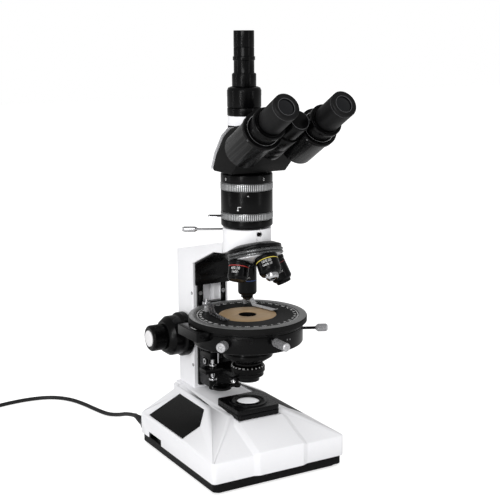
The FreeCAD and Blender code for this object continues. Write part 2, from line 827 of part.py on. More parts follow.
def make_drum():
    top = stage_z - gap
    shelf = drum_bottom + drum_web
    hub = turned([
        (hub_bore + slip, hub_low),
        (hub_low_r, hub_low),
        (hub_flange_r, hub_flange_low),
        (hub_flange_r, hub_flange_z),
        (hub_neck_r, hub_flange_z),
        (hub_neck_r, drum_bottom),
        (hub_bore + slip, drum_bottom),
    ], V())
    drum = turned([
        (hub_bore + slip, drum_bottom),
        (drum_r - 1, drum_bottom),
        (drum_r, drum_bottom + 1),
        (drum_r, top),
        (drum_r - drum_wall, top),
        (drum_r - drum_wall, shelf),
        (spindle_r + slip + drum_wall, shelf),
        (spindle_r + slip + drum_wall, top),
        (spindle_r + slip, top),
        (spindle_r + slip, spindle_bottom - gap),
        (hub_bore + slip, spindle_bottom - gap),
    ], V())
    lock = radial(lock_angle)
    left = radial(left_screw_angle)
    inside = drum_r - screw_depth
    front = V(front_screw_x, -math.sqrt(inside ** 2 - front_screw_x ** 2), front_screw_z)
    holes = [
        cylinder(lock_rod_r + slip, 2 * screw_depth, lock * inside + V(0, 0, lock_z), lock),
        cylinder(centring_pin_r + slip, 2 * screw_depth, front, -Y),
        cylinder(centring_pin_r + slip, 2 * screw_depth, left * inside + V(0, 0, left_screw_z), left),
    ]
    save("stage_drum", drum.cut(holes), hub)
    save("stage_lock", turned([
        (0, inside), (lock_rod_r, inside), (lock_rod_r, drum_r + lock_rod), (lock_knob_r, drum_r + lock_rod + 1),
        (lock_knob_r, drum_r + lock_rod + lock_knob - 1), (lock_knob_r - 1, drum_r + lock_rod + lock_knob),
        (0, drum_r + lock_rod + lock_knob)], V(0, 0, lock_z), lock))
    reach = screw_depth + centring_pin
    save("front_centring_screw", turned([
        (0, 0), (centring_pin_r, 0), (centring_pin_r, reach), (centring_knob_r - 0.8, reach),
        (centring_knob_r, reach + 1), (centring_knob_r, reach + centring_knob - 1.2),
        (centring_knob_r - 1.2, reach + centring_knob), (0, reach + centring_knob)], front, -Y))
    start = drum_r + left_screw_pin
    save("left_centring_screw", turned([
        (0, inside), (centring_pin_r, inside), (centring_pin_r, start), (left_screw_r - 0.8, start),
        (left_screw_r, start + 1), (left_screw_r, start + left_screw_knob - 1),
        (left_screw_r - 1, start + left_screw_knob), (0, start + left_screw_knob)], V(0, 0, left_screw_z), left))
    plate = block(vernier_x, 0, vernier_front, vernier_rear, vernier_low, top)
    save("stage_vernier", plate.cut(cylinder(drum_r, stage_z, V())))


def make_disc():
    rim = stage_top
    face = stage_top - stage_rim_rise
    seat = face - insert_depth
    disc = turned([
        (spindle_bore, stage_z),
        (stage_r - 0.6, stage_z),
        (stage_r, stage_z + 0.6),
        (stage_r, rim - 0.8),
        (stage_r - 0.8, rim),
        (stage_rim_r, rim),
        (stage_rim_r, face),
        (insert_r + slip, face),
        (insert_r + slip, seat),
        (spindle_bore, seat),
    ], V())
    spindle = tube(spindle_r, spindle_bore, stage_z - spindle_bottom, V(0, 0, spindle_bottom))
    holes = []
    posts = []
    for x, y in (left_post, right_post):
        foot = V(x, y, face - clip_pin)
        holes.append(cylinder(clip_post_r, clip_pin, foot))
        posts.append(turned([(0, 0), (clip_post_r, 0), (clip_post_r, clip_post_top - foot.z - 1),
                             (clip_post_r - 1, clip_post_top - foot.z), (0, clip_post_top - foot.z)], foot))
    save("stage_disc", disc.cut(holes), spindle, *posts)
    save("stage_insert", tube(insert_r, stage_hole_r, insert_depth, V(0, 0, seat)))
    for name, place, angle in (("left_clip", left_post, left_clip_angle), ("right_clip", right_post, right_clip_angle)):
        save(name, make_clip(place, angle))


def make_clip(place, angle):
    """A spring strip that starts on its collar, bends down and lies just above the disc."""
    low = stage_top + gap
    line = [(0, clip_high), (clip_bend_out, clip_high), (clip_bend_in, low), (clip_length - 3, low),
            (clip_length, low + 1.2)]
    outline = line + [(s, z + clip_thick) for s, z in reversed(line)]
    strip = prism([V(s, -clip_width / 2, z) for s, z in outline], V(0, clip_width, 0))
    collar = cylinder(clip_collar_r, 3.5, V(0, 0, clip_high - 1.3))
    body = joined(strip, collar).cut(cylinder(clip_post_r + slip, clip_post_top, V()))
    body.rotate(V(), Z, angle)
    body.translate(V(place[0], place[1], 0))
    return body


def make_condenser():
    carrier_back = carriage_front - gap
    ring = cylinder(carrier_r, carrier_top - carrier_low, V(0, 0, carrier_low))
    ring = ring.cut(block(-carrier_r, carrier_r, -carrier_r, 0, carrier_low, carrier_top))
    tail = block(-carrier_tail_half, carrier_tail_half, 0, carrier_back, carrier_low, carrier_top)
    ear = block(carrier_ear_x, 0, lift_y - carrier_ear_half, lift_y + carrier_ear_half, carrier_low, carrier_top)
    pad = block(-carrier_tail_half, carrier_tail_half, carrier_back - carrier_pad_thick, carrier_back, carrier_pad_low,
                carrier_pad_top)
    hole = cylinder(core_r, carrier_top, V(0, 0, carrier_low))
    lift_hole = cylinder(lift_spindle_r + slip, carrier_top, V(lift_x, lift_y, carrier_low))
    pivot = V(filter_pivot[0], filter_pivot[1], 0)
    pin = cylinder(filter_pin_r, carrier_low - filter_low, pivot + V(0, 0, filter_low))
    foot = cylinder(filter_pin_r + 1.5, 1.2, pivot + V(0, 0, filter_low - 1.2))
    save("condenser_carrier", joined(ring, tail, ear, pad, pin, foot).cut([hole, lift_hole]))
    barrel = turned([
        (condenser_bore, core_low), (core_r, core_low), (core_r, barrel_low), (barrel_r, barrel_low),
        (barrel_r, barrel_top - 1), (barrel_r - 1, barrel_top), (condenser_lens_r, barrel_top),
        (condenser_lens_r, barrel_top - 4), (condenser_bore, barrel_top - 4)], V())
    save("condenser_barrel", barrel, lens(condenser_lens_r, 4, condenser_lens_rise, barrel_top))
    save("polarizer_ring", turned([
        (core_r + slip, polarizer_low), (polarizer_r - 0.6, polarizer_low), (polarizer_r, polarizer_low + 0.6),
        (polarizer_r, polarizer_top - 1.6), (polarizer_r - 1.4, polarizer_top), (core_r + slip, polarizer_top)], V()))
    iris = tube(iris_r, core_r + slip, iris_top - iris_low, V(0, 0, iris_low))
    lever_at = V(0, 0, (iris_low + iris_top) / 2)
    lever_dir = radial(200)
    lever = cylinder(iris_lever_r, iris_lever, lever_at + lever_dir * (iris_r - 1), lever_dir)
    save("iris_ring", joined(iris, lever))
    middle = V(filter_x, filter_y, 0)
    thick = filter_high - filter_low - gap
    low = V(0, 0, filter_low + gap)
    frame = cylinder(filter_ring_r, thick, middle + low)
    eye = cylinder(filter_pin_r + 2.5, thick, pivot + low)
    across = middle - pivot
    side = V(-across.y, across.x, 0).normalize() * filter_arm_half
    bar = prism([pivot + side + low, pivot - side + low, middle - side + low, middle + side + low], V(0, 0, thick))
    cuts = [cylinder(filter_glass_r, filter_high, middle), cylinder(filter_pin_r + slip, filter_high, pivot)]
    for cut in cuts:
        cut.translate(V(0, 0, filter_low))
    glass = cylinder(filter_glass_r, thick - 0.6, middle + low + V(0, 0, 0.3))
    save("filter_holder", joined(frame, eye, bar).cut(cuts), glass)
    at = V(lift_x, lift_y, 0)
    save("lift_screw", turned([
        (0, lift_knob_low), (lift_knob_r - 0.6, lift_knob_low), (lift_knob_r, lift_knob_low + 0.6),
        (lift_knob_r, lift_knob_top - 0.6), (lift_knob_r - 0.6, lift_knob_top), (lift_ring_r, lift_knob_top),
        (lift_ring_r, carrier_low - gap), (lift_spindle_r, carrier_low - gap), (lift_spindle_r, lift_spindle_top),
        (0, lift_spindle_top)], at))


# Nosepiece: everything on it is turned about lines through the apex.
def seat_depth(r):
    """How far below the apex, along the turret's axis, the seats' cone lies at radius r."""
    lean = math.radians(turret_tilt)
    return (seat_distance - r * math.sin(lean)) / math.cos(lean)


def make_nosepiece(arm):
    apex = turret_point(0)
    down = turret_down
    rest = turret_top - gap
    cap = turned([
        (0, turret_cap_top),
        (turret_cap_flat_r, turret_cap_top),
        (turret_cap_r, turret_cap_shoulder),
        (turret_cap_r, rest),
        (0, rest),
    ], apex, down)
    pivot = cylinder(turret_pivot_r, seat_distance - turret_top + turret_pivot_past, apex + down * rest, down)
    light = cylinder(objective_bore, 2 * seat_distance, V(0, 0, apex_z - 2 * seat_distance))
    neck_light = cylinder(neck_bore, apex_z, V(0, 0, limb_end_z))
    save("nosepiece_mount", joined(cap, pivot).cut([arm, light, neck_light]))
    bore = turret_pivot_r + slip
    body = turned([
        (bore, turret_top),
        (turret_core_r, turret_top),
        (turret_core_r, seat_depth(turret_core_r)),
        (turret_face_r, seat_depth(turret_face_r)),
        (bore, seat_depth(turret_face_r)),
    ], apex, down)
    passages = []
    threads = []
    for name, (turn, profile) in objectives.items():
        aim = FreeCAD.Rotation(down, turn).multVec(-Z)
        seat = apex + aim * seat_distance
        thread_start = seat - aim * thread_depth
        threads.append(cylinder(thread_r, 2 * thread_depth, thread_start, aim))
        passages.append(cylinder(thread_r, seat_distance, seat - aim * seat_distance / 2, aim))
        tip_r, length = profile[-1]
        outline = [(0, -thread_depth), (thread_r, -thread_depth), (thread_r, 0)] + profile + [(0, length)]
        recess = cylinder(tip_r * tip_share, tip_recess, seat + aim * (length - tip_recess), aim)
        socket = cylinder(objective_bore - 1, thread_depth, thread_start, aim)
        save(name, turned(outline, seat, aim).cut([recess, socket]))
    save("turret", body.cut(passages))
    start = turret_top + gap
    band = turned([
        (turret_core_r, start),
        (turret_r - band_round, start),
        (turret_r, start + band_round),
        (turret_r, band_low - band_round),
        (turret_r - band_round, band_low),
        (turret_core_r, band_low),
    ], apex, down)
    save("turret_band", band.cut(threads))


def make_analyser():
    low = neck_top
    profile = [
        (tube_bore, low), (tube_r - tube_round, low), (tube_r, low + tube_round), (tube_r, tube_base_top - gap),
        (tube_core_r, tube_base_top - gap), (tube_core_r, tube_top), (tube_bore, tube_top),
    ]
    body = turned(profile, V())
    sleeve = tube(tube_r, tube_core_r, bertrand_low - analyser_top - 2 * gap, V(0, 0, analyser_top + gap))
    crown = tube(tube_r, tube_core_r, tube_top - bertrand_top - gap, V(0, 0, bertrand_top + gap))
    save("analyser_tube", body, sleeve, crown)
    ring = tube(tube_r, tube_core_r + slip, analyser_top - tube_base_top, V(0, 0, tube_base_top))
    lever_low = (tube_base_top + analyser_top - lever_thick) / 2
    lever = block(tube_r - 1, lever_end, -lever_half, lever_half, lever_low, lever_low + lever_thick)
    lever.rotate(V(), Z, lever_angle)
    save("analyser_ring", joined(ring, lever))
    save("bertrand_ring", tube(tube_r, tube_core_r + slip, bertrand_top - bertrand_low, V(0, 0, bertrand_low)))
    save("compensator_slider", turned([
        (0, slider_inner),
        (slider_r, slider_inner),
        (slider_r, slider_knob_start),
        (slider_knob_r - 0.8, slider_knob_start + 1),
        (slider_knob_r, slider_knob_start + 3),
        (slider_knob_r, slider_end - 2),
        (slider_knob_r - 1.2, slider_end),
        (0, slider_end),
    ], V(0, 0, slider_z), radial(lever_angle)))


# Head: housing with the phototube on it, and two eyepiece barrels that swing about a leaning hub.
tilt = math.radians(head_axis_slope)
eyeward = V(0, -math.cos(tilt), math.sin(tilt))


def station(s, x=0.0):
    """The point on a tube axis at distance s back from its eye end."""
    return V(x, eye_y, eye_z) - eyeward * s


def make_head():
    # The front plane stands square to the eyepiece tubes, where the drums end
    face = V(0, eye_y, eye_z).dot(eyeward) - drum_end
    top_y = (head_top_z * math.sin(tilt) - face) / math.cos(tilt)
    chin_z = (face + head_chin_y * math.cos(tilt)) / math.sin(tilt)
    outline = head_back + [(top_y, head_top_z), (head_chin_y, chin_z)] + head_underside
    body = sideways(outline, head_half)
    body = body.makeFillet(head_round, [e for e in body.Edges if abs(e.tangentAt(e.FirstParameter).x) < 0.01
                                        and e.CenterOfMass.z > head_bottom + 8 and e.CenterOfMass.y > top_y + 1])
    riser = cylinder(riser_r, riser_top - riser_low, V(0, riser_y, riser_low))
    spigot = cylinder(tube_bore - slip, head_spigot, V(0, 0, head_bottom - head_spigot))
    collar = cylinder(head_spigot_r, head_bottom + 1 - tube_top - gap, V(0, 0, tube_top + gap))
    pin = cylinder(hub_pin_r, drum_end - hub_step, station(drum_end), eyeward)
    hub = cylinder(hub_r, hub_step - hub_front, station(hub_step), eyeward)
    light = cylinder(tube_bore - 4, head_spigot + 10, V(0, 0, head_bottom - head_spigot))
    save("head_housing", joined(body, riser, spigot, collar, pin).cut(light))
    save("hub_cap", hub)
    hood = turned([
        (photo_r, riser_top), (hood_r, riser_top), (hood_r, hood_groove_z), (hood_r - hood_groove, hood_groove_z),
        (hood_r - hood_groove, hood_groove_z + hood_groove), (hood_r, hood_groove_z + hood_groove),
        (hood_r, hood_top - hood_round), (hood_r - hood_round, hood_top), (photo_r, hood_top)], V(0, riser_y, 0))
    save("phototube", hood, turned([
        (0, riser_top), (photo_r, riser_top), (photo_r, hood_top), (photo_collar_r, hood_top),
        (photo_collar_r, photo_collar_top - 1), (photo_collar_r - 1, photo_collar_top), (photo_r, photo_collar_top),
        (photo_r, photo_ring_low), (photo_ring_r, photo_ring_low), (photo_ring_r, photo_ring_top),
        (photo_r, photo_ring_top), (photo_r, photo_top), (photo_bore_r, photo_top),
        (photo_bore_r, photo_top - photo_bore), (0, photo_top - photo_bore)], V(0, riser_y, 0)))
    for side, name, ring in ((-1, "left", left_ring), (1, "right", right_ring)):
        make_barrel(side, name, ring)


def make_barrel(side, name, ring):
    x = side * eye_x
    back = -eyeward
    base = station(0, x)
    profile = [
        (eyepiece_stem_r + slip, dioptre_start + gap), (dioptre_r - 2.5, dioptre_start + gap),
        (dioptre_r - 2.5, dioptre_end + gap), (barrel_tube_r, dioptre_end + gap),
        (barrel_tube_r, rim_start + rim_recess), (rim_recess_r, rim_start + rim_recess), (rim_recess_r, rim_start),
        (rim_r, rim_start), (rim_r, rim_end), (drum_radius, rim_end), (drum_radius, drum_end - gap),
        (0, drum_end - gap), (0, eyepiece_stem_end + gap), (eyepiece_stem_r + slip, eyepiece_stem_end + gap),
    ]
    drum = turned(profile, base, back)
    collar = cylinder(hub_r, ring[1] - ring[0], station(ring[1]), eyeward)
    web = block(min(0, x / 2), max(0, x / 2), -web_half, web_half, 0, ring[1] - ring[0])
    web.Placement = FreeCAD.Placement(station(ring[1]), FreeCAD.Rotation(Z, eyeward))
    bore = cylinder(hub_pin_r + slip, drum_end, station(drum_end), eyeward)
    link = joined(collar, web).cut([bore, cylinder(drum_radius, drum_end, station(drum_end, x), eyeward)])
    dioptre = tube(dioptre_r, dioptre_r - 2.5 + slip, dioptre_end - dioptre_start, station(dioptre_end, x), eyeward)
    # Only the left eyepiece focuses by itself, so the right one's collar stays with its barrel
    if side < 0:
        save("left_barrel", drum, link)
        save("dioptre_ring", dioptre)
    else:
        save("right_barrel", drum, link, dioptre)
    save(f"{name}_eyepiece", turned([
        (0, eye_recess), (eye_lens_r, eye_recess), (eye_lens_r, 0), (eyepiece_r - 1, 0), (eyepiece_r, 1),
        (eyepiece_r, eyepiece_length), (eyepiece_r - 1.2, eyepiece_length), (eyepiece_r - 1.2, dioptre_start),
        (eyepiece_stem_r, dioptre_start), (eyepiece_stem_r, eyepiece_stem_end), (0, eyepiece_stem_end)], base, back))


# Cord: straight runs joined by tangent arcs, each arc as large as its two runs allow.
def cord_wire(points):
    edges = []
    start = points[0]
    for before, corner, after in zip(points, points[1:], points[2:]):
        into = corner - before
        out = after - corner
        half_turn = into.getAngle(out) / 2
        reach = 0.45 * min(into.Length, out.Length)
        a = corner - into.normalize() * reach
        b = corner + out.normalize() * reach
        bisector = (b - a).cross(into.cross(out)).normalize()
        middle = (a + b) * 0.5
        sag = reach / math.tan(half_turn) * (1 - math.cos(half_turn))
        toward = (corner - middle).normalize()
        edges.append(Part.LineSegment(start, a).toShape())
        edges.append(Part.Arc(a, middle + toward * sag, b).toShape())
        start = b
    edges.append(Part.LineSegment(start, points[-1]).toShape())
    return Part.Wire(edges)


def make_cord():
    path = cord_wire([V(*p) for p in cord_route])
    first = V(*cord_route[1]) - V(*cord_route[0])
    section = Part.Wire(Part.makeCircle(cord_r, V(*cord_route[0]), first))
    cord = path.makePipeShell([section], True, False)
    middle = V(coil_x, coil_y, -bench_drop)
    toward_plug = radial(tail_angle + 90)
    tail_start = middle + radial(tail_angle) * coil_turn_r + V(0, 0, plug_height / 2)
    save("power_cord", cord, cylinder(cord_r, tail_length, tail_start, toward_plug))
    at = V(gland_x, 0, gland_z)
    inside = base_rear - base_wall * 1.5
    save("cord_gland", turned([
        (0, inside), (gland_r, inside), (gland_r, base_rear), (gland_flange_r, base_rear),
        (gland_flange_r, base_rear + 3), (gland_r, base_rear + 4), (gland_r - 0.6, gland_out),
        (cord_r + 0.4, gland_end), (0, gland_end)], at, Y))
    save("cord_coil", tube(coil_outer, coil_inner, coil_height, middle))
    body = pillar(0, plug_length, -plug_half, plug_half, -plug_height / 2, plug_height / 2, 3)
    pins = [cylinder(plug_pin_r, plug_pin, V(plug_length - 1, side * plug_pin_pitch / 2, 0), X) for side in (-1, 1)]
    whole = joined(body, *pins)
    whole.Placement = FreeCAD.Placement(tail_start + toward_plug * tail_length, FreeCAD.Rotation(X, toward_plug))
    save("plug", whole)


os.makedirs("parts", exist_ok=True)
make_base()
make_illuminator()
arm = make_arm()
make_guides()
make_focus()
make_carriage()
make_drum()
make_disc()
make_condenser()
make_nosepiece(arm)
make_analyser()
make_head()
make_cord()
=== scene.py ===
import math

import bmesh
import bpy
from mathutils import Matrix, Vector


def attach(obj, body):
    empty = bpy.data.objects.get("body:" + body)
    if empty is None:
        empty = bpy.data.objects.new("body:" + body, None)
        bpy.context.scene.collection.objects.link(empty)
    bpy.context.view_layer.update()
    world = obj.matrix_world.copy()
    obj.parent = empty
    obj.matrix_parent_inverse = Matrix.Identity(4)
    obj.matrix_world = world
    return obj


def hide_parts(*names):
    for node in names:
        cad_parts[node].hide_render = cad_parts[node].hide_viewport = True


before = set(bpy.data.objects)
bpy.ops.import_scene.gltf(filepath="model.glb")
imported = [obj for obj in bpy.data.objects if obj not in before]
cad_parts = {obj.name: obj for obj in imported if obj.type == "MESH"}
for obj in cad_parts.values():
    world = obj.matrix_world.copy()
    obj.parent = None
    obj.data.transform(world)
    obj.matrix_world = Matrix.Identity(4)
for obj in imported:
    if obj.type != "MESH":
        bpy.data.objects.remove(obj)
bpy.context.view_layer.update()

# Camera: a long lens at the user's front left, level with the top of the phototube.
# Sizes in this file are millimetres from the optical axis and from a level just above the bench; place()
# turns them into the frame's metres.
mm = 0.001
optical_axis_y = 4.87
bench_drop = 2.4


def place(x, y, z):
    return Vector((x, y + optical_axis_y, z + bench_drop)) * mm


camera_right = Vector((0.86660, -0.49896, -0.00605))
camera_up = Vector((0.10456, 0.16973, 0.97993))
camera_back = camera_right.cross(camera_up)
camera_turn = Matrix((camera_right, camera_up, camera_back)).transposed().to_4x4()
camera_spot = place(-578.94, -1014.77, 479.59)
camera = bpy.data.objects.new("camera", bpy.data.cameras.new("camera"))
camera.data.lens = 78.2
camera.data.sensor_width = 36
camera.data.clip_start = 0.01
camera.matrix_world = Matrix.Translation(camera_spot) @ camera_turn
bpy.context.scene.collection.objects.link(camera)
bpy.context.scene.camera = camera
bpy.context.scene.view_settings.view_transform = "Standard"

# Studio: a white floor and a white room, so that only the object and its contact shadow are seen.
# The camera sees plain white, polished faces mirror a greyer room, and a soft box and three tall strips
# light the object.
floor_glow = 0.62
room_light = 0.7
mirrored_light = 0.4
floor_size = 6
floor_white = 0.8
lamp_aim = (0, 0, 220)


def node_of(tree, kind, **settings):
    node = tree.nodes.new(kind)
    for key, value in settings.items():
        setattr(node, key, value)
    return node


def sum_of(tree, term, factor, base):
    """factor times term plus base, where base is a number or an output."""
    node = node_of(tree, "ShaderNodeMath", operation="MULTIPLY_ADD")
    tree.links.new(term, node.inputs[0])
    node.inputs[1].default_value = factor
    if isinstance(base, float):
        node.inputs[2].default_value = base
    else:
        tree.links.new(base, node.inputs[2])
    return node.outputs[0]


bm = bmesh.new()
bmesh.ops.create_grid(bm, x_segments=1, y_segments=1, size=floor_size)
floor_mesh = bpy.data.meshes.new("floor")
bm.to_mesh(floor_mesh)
bm.free()
floor = bpy.data.objects.new("floor", floor_mesh)
bpy.context.scene.collection.objects.link(floor)
floor_paint = bpy.data.materials.new("floor_paint")
floor_paint.use_nodes = True
tree = floor_paint.node_tree
glow = node_of(tree, "ShaderNodeEmission")
glow.inputs["Color"].default_value = (1, 1, 1, 1)
rays = node_of(tree, "ShaderNodeLightPath").outputs
through_glass = sum_of(tree, rays["Is Transmission Ray"], floor_glow, 0.0)
tree.links.new(sum_of(tree, rays["Is Camera Ray"], floor_glow, through_glass), glow.inputs["Strength"])
matt = node_of(tree, "ShaderNodeBsdfDiffuse")
matt.inputs["Color"].default_value = (floor_white, floor_white, floor_white, 1)
both = node_of(tree, "ShaderNodeAddShader")
tree.links.new(glow.outputs[0], both.inputs[0])
tree.links.new(matt.outputs[0], both.inputs[1])
tree.links.new(both.outputs[0], tree.nodes["Material Output"].inputs["Surface"])
floor_mesh.materials.append(floor_paint)

room = bpy.data.worlds.new("room")
bpy.context.scene.world = room
room.use_nodes = True
tree = room.node_tree
walls = tree.nodes["Background"]
walls.inputs["Color"].default_value = (1, 1, 1, 1)
rays = node_of(tree, "ShaderNodeLightPath").outputs
level = sum_of(tree, rays["Is Camera Ray"], 1.0 - room_light, room_light)
level = sum_of(tree, rays["Is Transmission Ray"], 1.0 - room_light, level)
level = sum_of(tree, rays["Is Glossy Ray"], mirrored_light - room_light, level)
tree.links.new(level, walls.inputs["Strength"])

for name, at, size, power in (
    ("soft_box", (-900, -1000, 950), (0.5, 0.7), 7.0),
    ("front_strip", (-1060, -760, 420), (0.035, 0.9), 3.0),
    ("right_strip", (640, -1130, 420), (0.04, 0.9), 0.9),
    ("left_strip", (-1110, 450, 420), (0.04, 0.9), 0.8),
):
    lamp = bpy.data.lights.new(name, "AREA")
    lamp.shape = "RECTANGLE"
    lamp.size, lamp.size_y = size
    lamp.energy = power
    holder = bpy.data.objects.new(name, lamp)
    aim = place(*at) - place(*lamp_aim)
    facing = aim.to_track_quat("Z", "Y").to_matrix().to_4x4()
    holder.matrix_world = Matrix.Translation(place(*at)) @ facing
    bpy.context.scene.collection.objects.link(holder)

# Power cord: a round vinyl mains lead with a moulded strain relief and plug. It leaves the back of the
# base at the left, drops to the bench, runs out of view and is wound into a coil there.
cord_r = 2.5
gland_x = -73.5
gland_z = 17.5
gland_out = 135.0
gland_end = 150.0
base_rear = 113.7
cord_route = [
    (-73.5, 150.0, 17.5),
    (-74.3, 171.0, 13.5),
    (-77.0, 194.0, 5.0),
    (-83.0, 216.0, 0.2),
    (-89.5, 242.0, 0.2),
    (-95.0, 270.0, 0.2),
    (-104.0, 296.0, 0.2),
    (-122.0, 316.0, 0.2),
    (-150.0, 323.0, 0.2),
    (-180.0, 321.5, 0.2),
    (-210.0, 315.0, 0.2),
    (-239.0, 306.5, 0.2),
    (-267.0, 296.0, 0.2),
]


def tone(red, green, blue):
    """A colour as it looks on the screen, 0 to 255, in linear light."""
    def linear(c):
        c /= 255
        return c / 12.92 if c <= 0.04045 else ((c + 0.055) / 1.055) ** 2.4
    return (linear(red), linear(green), linear(blue), 1.0)


# The noise's detail, the part of its range that the gloss follows, and how strongly it dents the surface.
noise_detail = 4
noise_low, noise_high = 0.3, 0.7
relief_strength = 0.6


def finish_of(name, light, dark, rough, grain, depth, metallic=0.0, specular=0.5, coat=0.0):
    """A finish between two screen colours, whose colour, gloss and relief vary with a grain of so many
    cells to the metre. depth is the relief in millimetres."""
    material = bpy.data.materials.new(name)
    material.use_nodes = True
    tree = material.node_tree
    shader = tree.nodes["Principled BSDF"]
    spot = node_of(tree, "ShaderNodeTexCoord")
    noise = node_of(tree, "ShaderNodeTexNoise")
    noise.inputs["Scale"].default_value = grain
    noise.inputs["Detail"].default_value = noise_detail
    tree.links.new(spot.outputs["Object"], noise.inputs["Vector"])
    mix = node_of(tree, "ShaderNodeMix", data_type="RGBA")
    for socket in mix.inputs:
        if socket.type == "RGBA":
            socket.default_value = tone(*(light if socket.identifier.startswith("A") else dark))
    tree.links.new(noise.outputs["Fac"], mix.inputs["Factor"])
    tree.links.new(next(o for o in mix.outputs if o.type == "RGBA"), shader.inputs["Base Color"])
    gloss = node_of(tree, "ShaderNodeMapRange")
    gloss.inputs["From Min"].default_value = noise_low
    gloss.inputs["From Max"].default_value = noise_high
    gloss.inputs["To Min"].default_value, gloss.inputs["To Max"].default_value = rough
    tree.links.new(noise.outputs["Fac"], gloss.inputs["Value"])
    tree.links.new(gloss.outputs["Result"], shader.inputs["Roughness"])
    bump = node_of(tree, "ShaderNodeBump")
    bump.inputs["Strength"].default_value = relief_strength
    bump.inputs["Distance"].default_value = depth * mm
    tree.links.new(noise.outputs["Fac"], bump.inputs["Height"])
    tree.links.new(bump.outputs["Normal"], shader.inputs["Normal"])
    shader.inputs["Metallic"].default_value = metallic
    shader.inputs["Specular IOR Level"].default_value = specular
    shader.inputs["Coat Weight"].default_value = coat
    return material


def fitted(name, mesh, body, finish, slot_name, *nodes):
    """Put a finished mesh in the scene, on its body, in the place of the nodes that it stands for."""
    piece = bpy.data.objects.new(name, mesh)
    bpy.context.scene.collection.objects.link(piece)
    mesh.materials.append(finish)
    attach(piece, body)
    if nodes:
        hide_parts(*nodes)
    return piece


def shaded(mesh, crease=35):
    """Round faces shade smoothly, and an edge sharper than the crease stays crisp."""
    mesh.shade_smooth()
    mesh.set_sharp_from_angle(angle=math.radians(crease))


# Points closer than weld, in metres, merge. A rib's edge takes rib_gap of its face, and a face belongs to
# a grip if its normal leans less than side_on along the axis.
weld = 1e-7
rib_gap = 0.22
side_on = 0.1


def turned(name, profile, at, axis, body, finish, slot_name, *nodes, ease=0.3, sides=96, ribs=None,
           groove_shade=None):
    """A lathe-turned piece. The profile is (radius, distance along the axis), closed unless it starts
    and ends on the axis; its corners are eased before it is spun. ribs is (low, high, depth) of a ribbed
    grip, whose sunk strips may take a darker groove finish: painted shade between the ribs."""
    bm = bmesh.new()
    points = [bm.verts.new((r * mm, 0, s * mm)) for r, s in profile]
    closed = profile[0][0] > 0
    for a, b in zip(points, points[1:] + (points[:1] if closed else [])):
        bm.edges.new((a, b))
    if ease:
        corners = points if closed else points[1:-1]
        bmesh.ops.bevel(bm, geom=corners, offset=ease * mm, offset_type="OFFSET", segments=2, profile=0.5,
                        affect="VERTICES", material=-1, clamp_overlap=True)
    bmesh.ops.spin(bm, geom=bm.verts[:] + bm.edges[:], cent=(0, 0, 0), axis=(0, 0, 1), dvec=(0, 0, 0),
                   angle=2 * math.pi, steps=sides, use_merge=True)
    bmesh.ops.remove_doubles(bm, verts=bm.verts, dist=weld)
    bmesh.ops.recalc_face_normals(bm, faces=bm.faces)
    if ribs:
        low, high, depth = ribs
        grip = [f for f in bm.faces if low * mm < f.calc_center_median().z < high * mm
                and abs(f.normal.z) < side_on and f.normal.dot(f.calc_center_median()) > 0]
        width = min(e.calc_length() for f in grip for e in f.edges)
        strips = bmesh.ops.inset_individual(bm, faces=grip, thickness=width * rib_gap, depth=depth * mm,
                                            use_even_offset=True)["faces"]
        for strip in strips:
            strip.material_index = 1 if groove_shade else 0
    turn = Vector((0, 0, 1)).rotation_difference(axis).to_matrix().to_4x4()
    bmesh.ops.transform(bm, matrix=Matrix.Translation(at) @ turn, verts=bm.verts)
    mesh = bpy.data.meshes.new(name)
    bm.to_mesh(mesh)
    bm.free()
    shaded(mesh)
    piece = fitted(name, mesh, body, finish, slot_name, *nodes)
    if groove_shade:
        mesh.materials.append(groove_shade)
    return piece


# A CAD mesh's points merge within cad_weld, in metres, and its faces where they meet within flat_within.
cad_weld = 2e-6
flat_within = math.radians(0.8)


def dressed(name, node, body, finish, slot_name, edge=0.6, steps=2, crease=28):
    """The CAD node's own shape, its flats cleaned and its edges rounded as by paint or machining."""
    bm = bmesh.new()
    bm.from_mesh(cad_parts[node].data)
    bmesh.ops.remove_doubles(bm, verts=bm.verts, dist=cad_weld)
    bmesh.ops.dissolve_limit(bm, angle_limit=flat_within, verts=bm.verts, edges=bm.edges)
    mesh = bpy.data.meshes.new(name)
    bm.to_mesh(mesh)
    bm.free()
    mesh.shade_smooth()
    piece = fitted(name, mesh, body, finish, slot_name, node)
    rounding = piece.modifiers.new("edges", "BEVEL")
    rounding.width = edge * mm
    rounding.segments = steps
    rounding.limit_method = "ANGLE"
    rounding.angle_limit = math.radians(crease)
    rounding.use_clamp_overlap = False
    rounding.harden_normals = True
    return piece


vinyl = finish_of("vinyl", (26, 26, 27), (18, 18, 19), (0.38, 0.55), 900, 0.05, specular=0.4)
turned("strain_relief", [
    (0, base_rear - 6), (6, base_rear - 6), (6, base_rear), (8, base_rear), (8, base_rear + 3),
    (6, base_rear + 4), (5.4, gland_out - 9), (4.3, gland_out - 8), (5.2, gland_out - 6),
    (4.1, gland_out - 5), (4.9, gland_out - 3), (3.9, gland_out - 2), (4.5, gland_out),
    (3.7, gland_out + 1), (4.1, gland_out + 3), (3.4, gland_out + 4), (3.7, gland_out + 6),
    (3.1, gland_out + 7), (2.9, gland_end), (0, gland_end)],
    place(gland_x, 0, gland_z), Vector((0, 1, 0)), "stand", vinyl, "rubber", "cord_gland", ease=0.25,
    sides=32)

coil_x, coil_y = -254.4, 262.3
coil_radii = [20.7, 25.8, 30.9, 36.0]
coil_layers = [0.2, 5.3]
coil_start = 110.6
points_per_turn = 12
coil_points = []

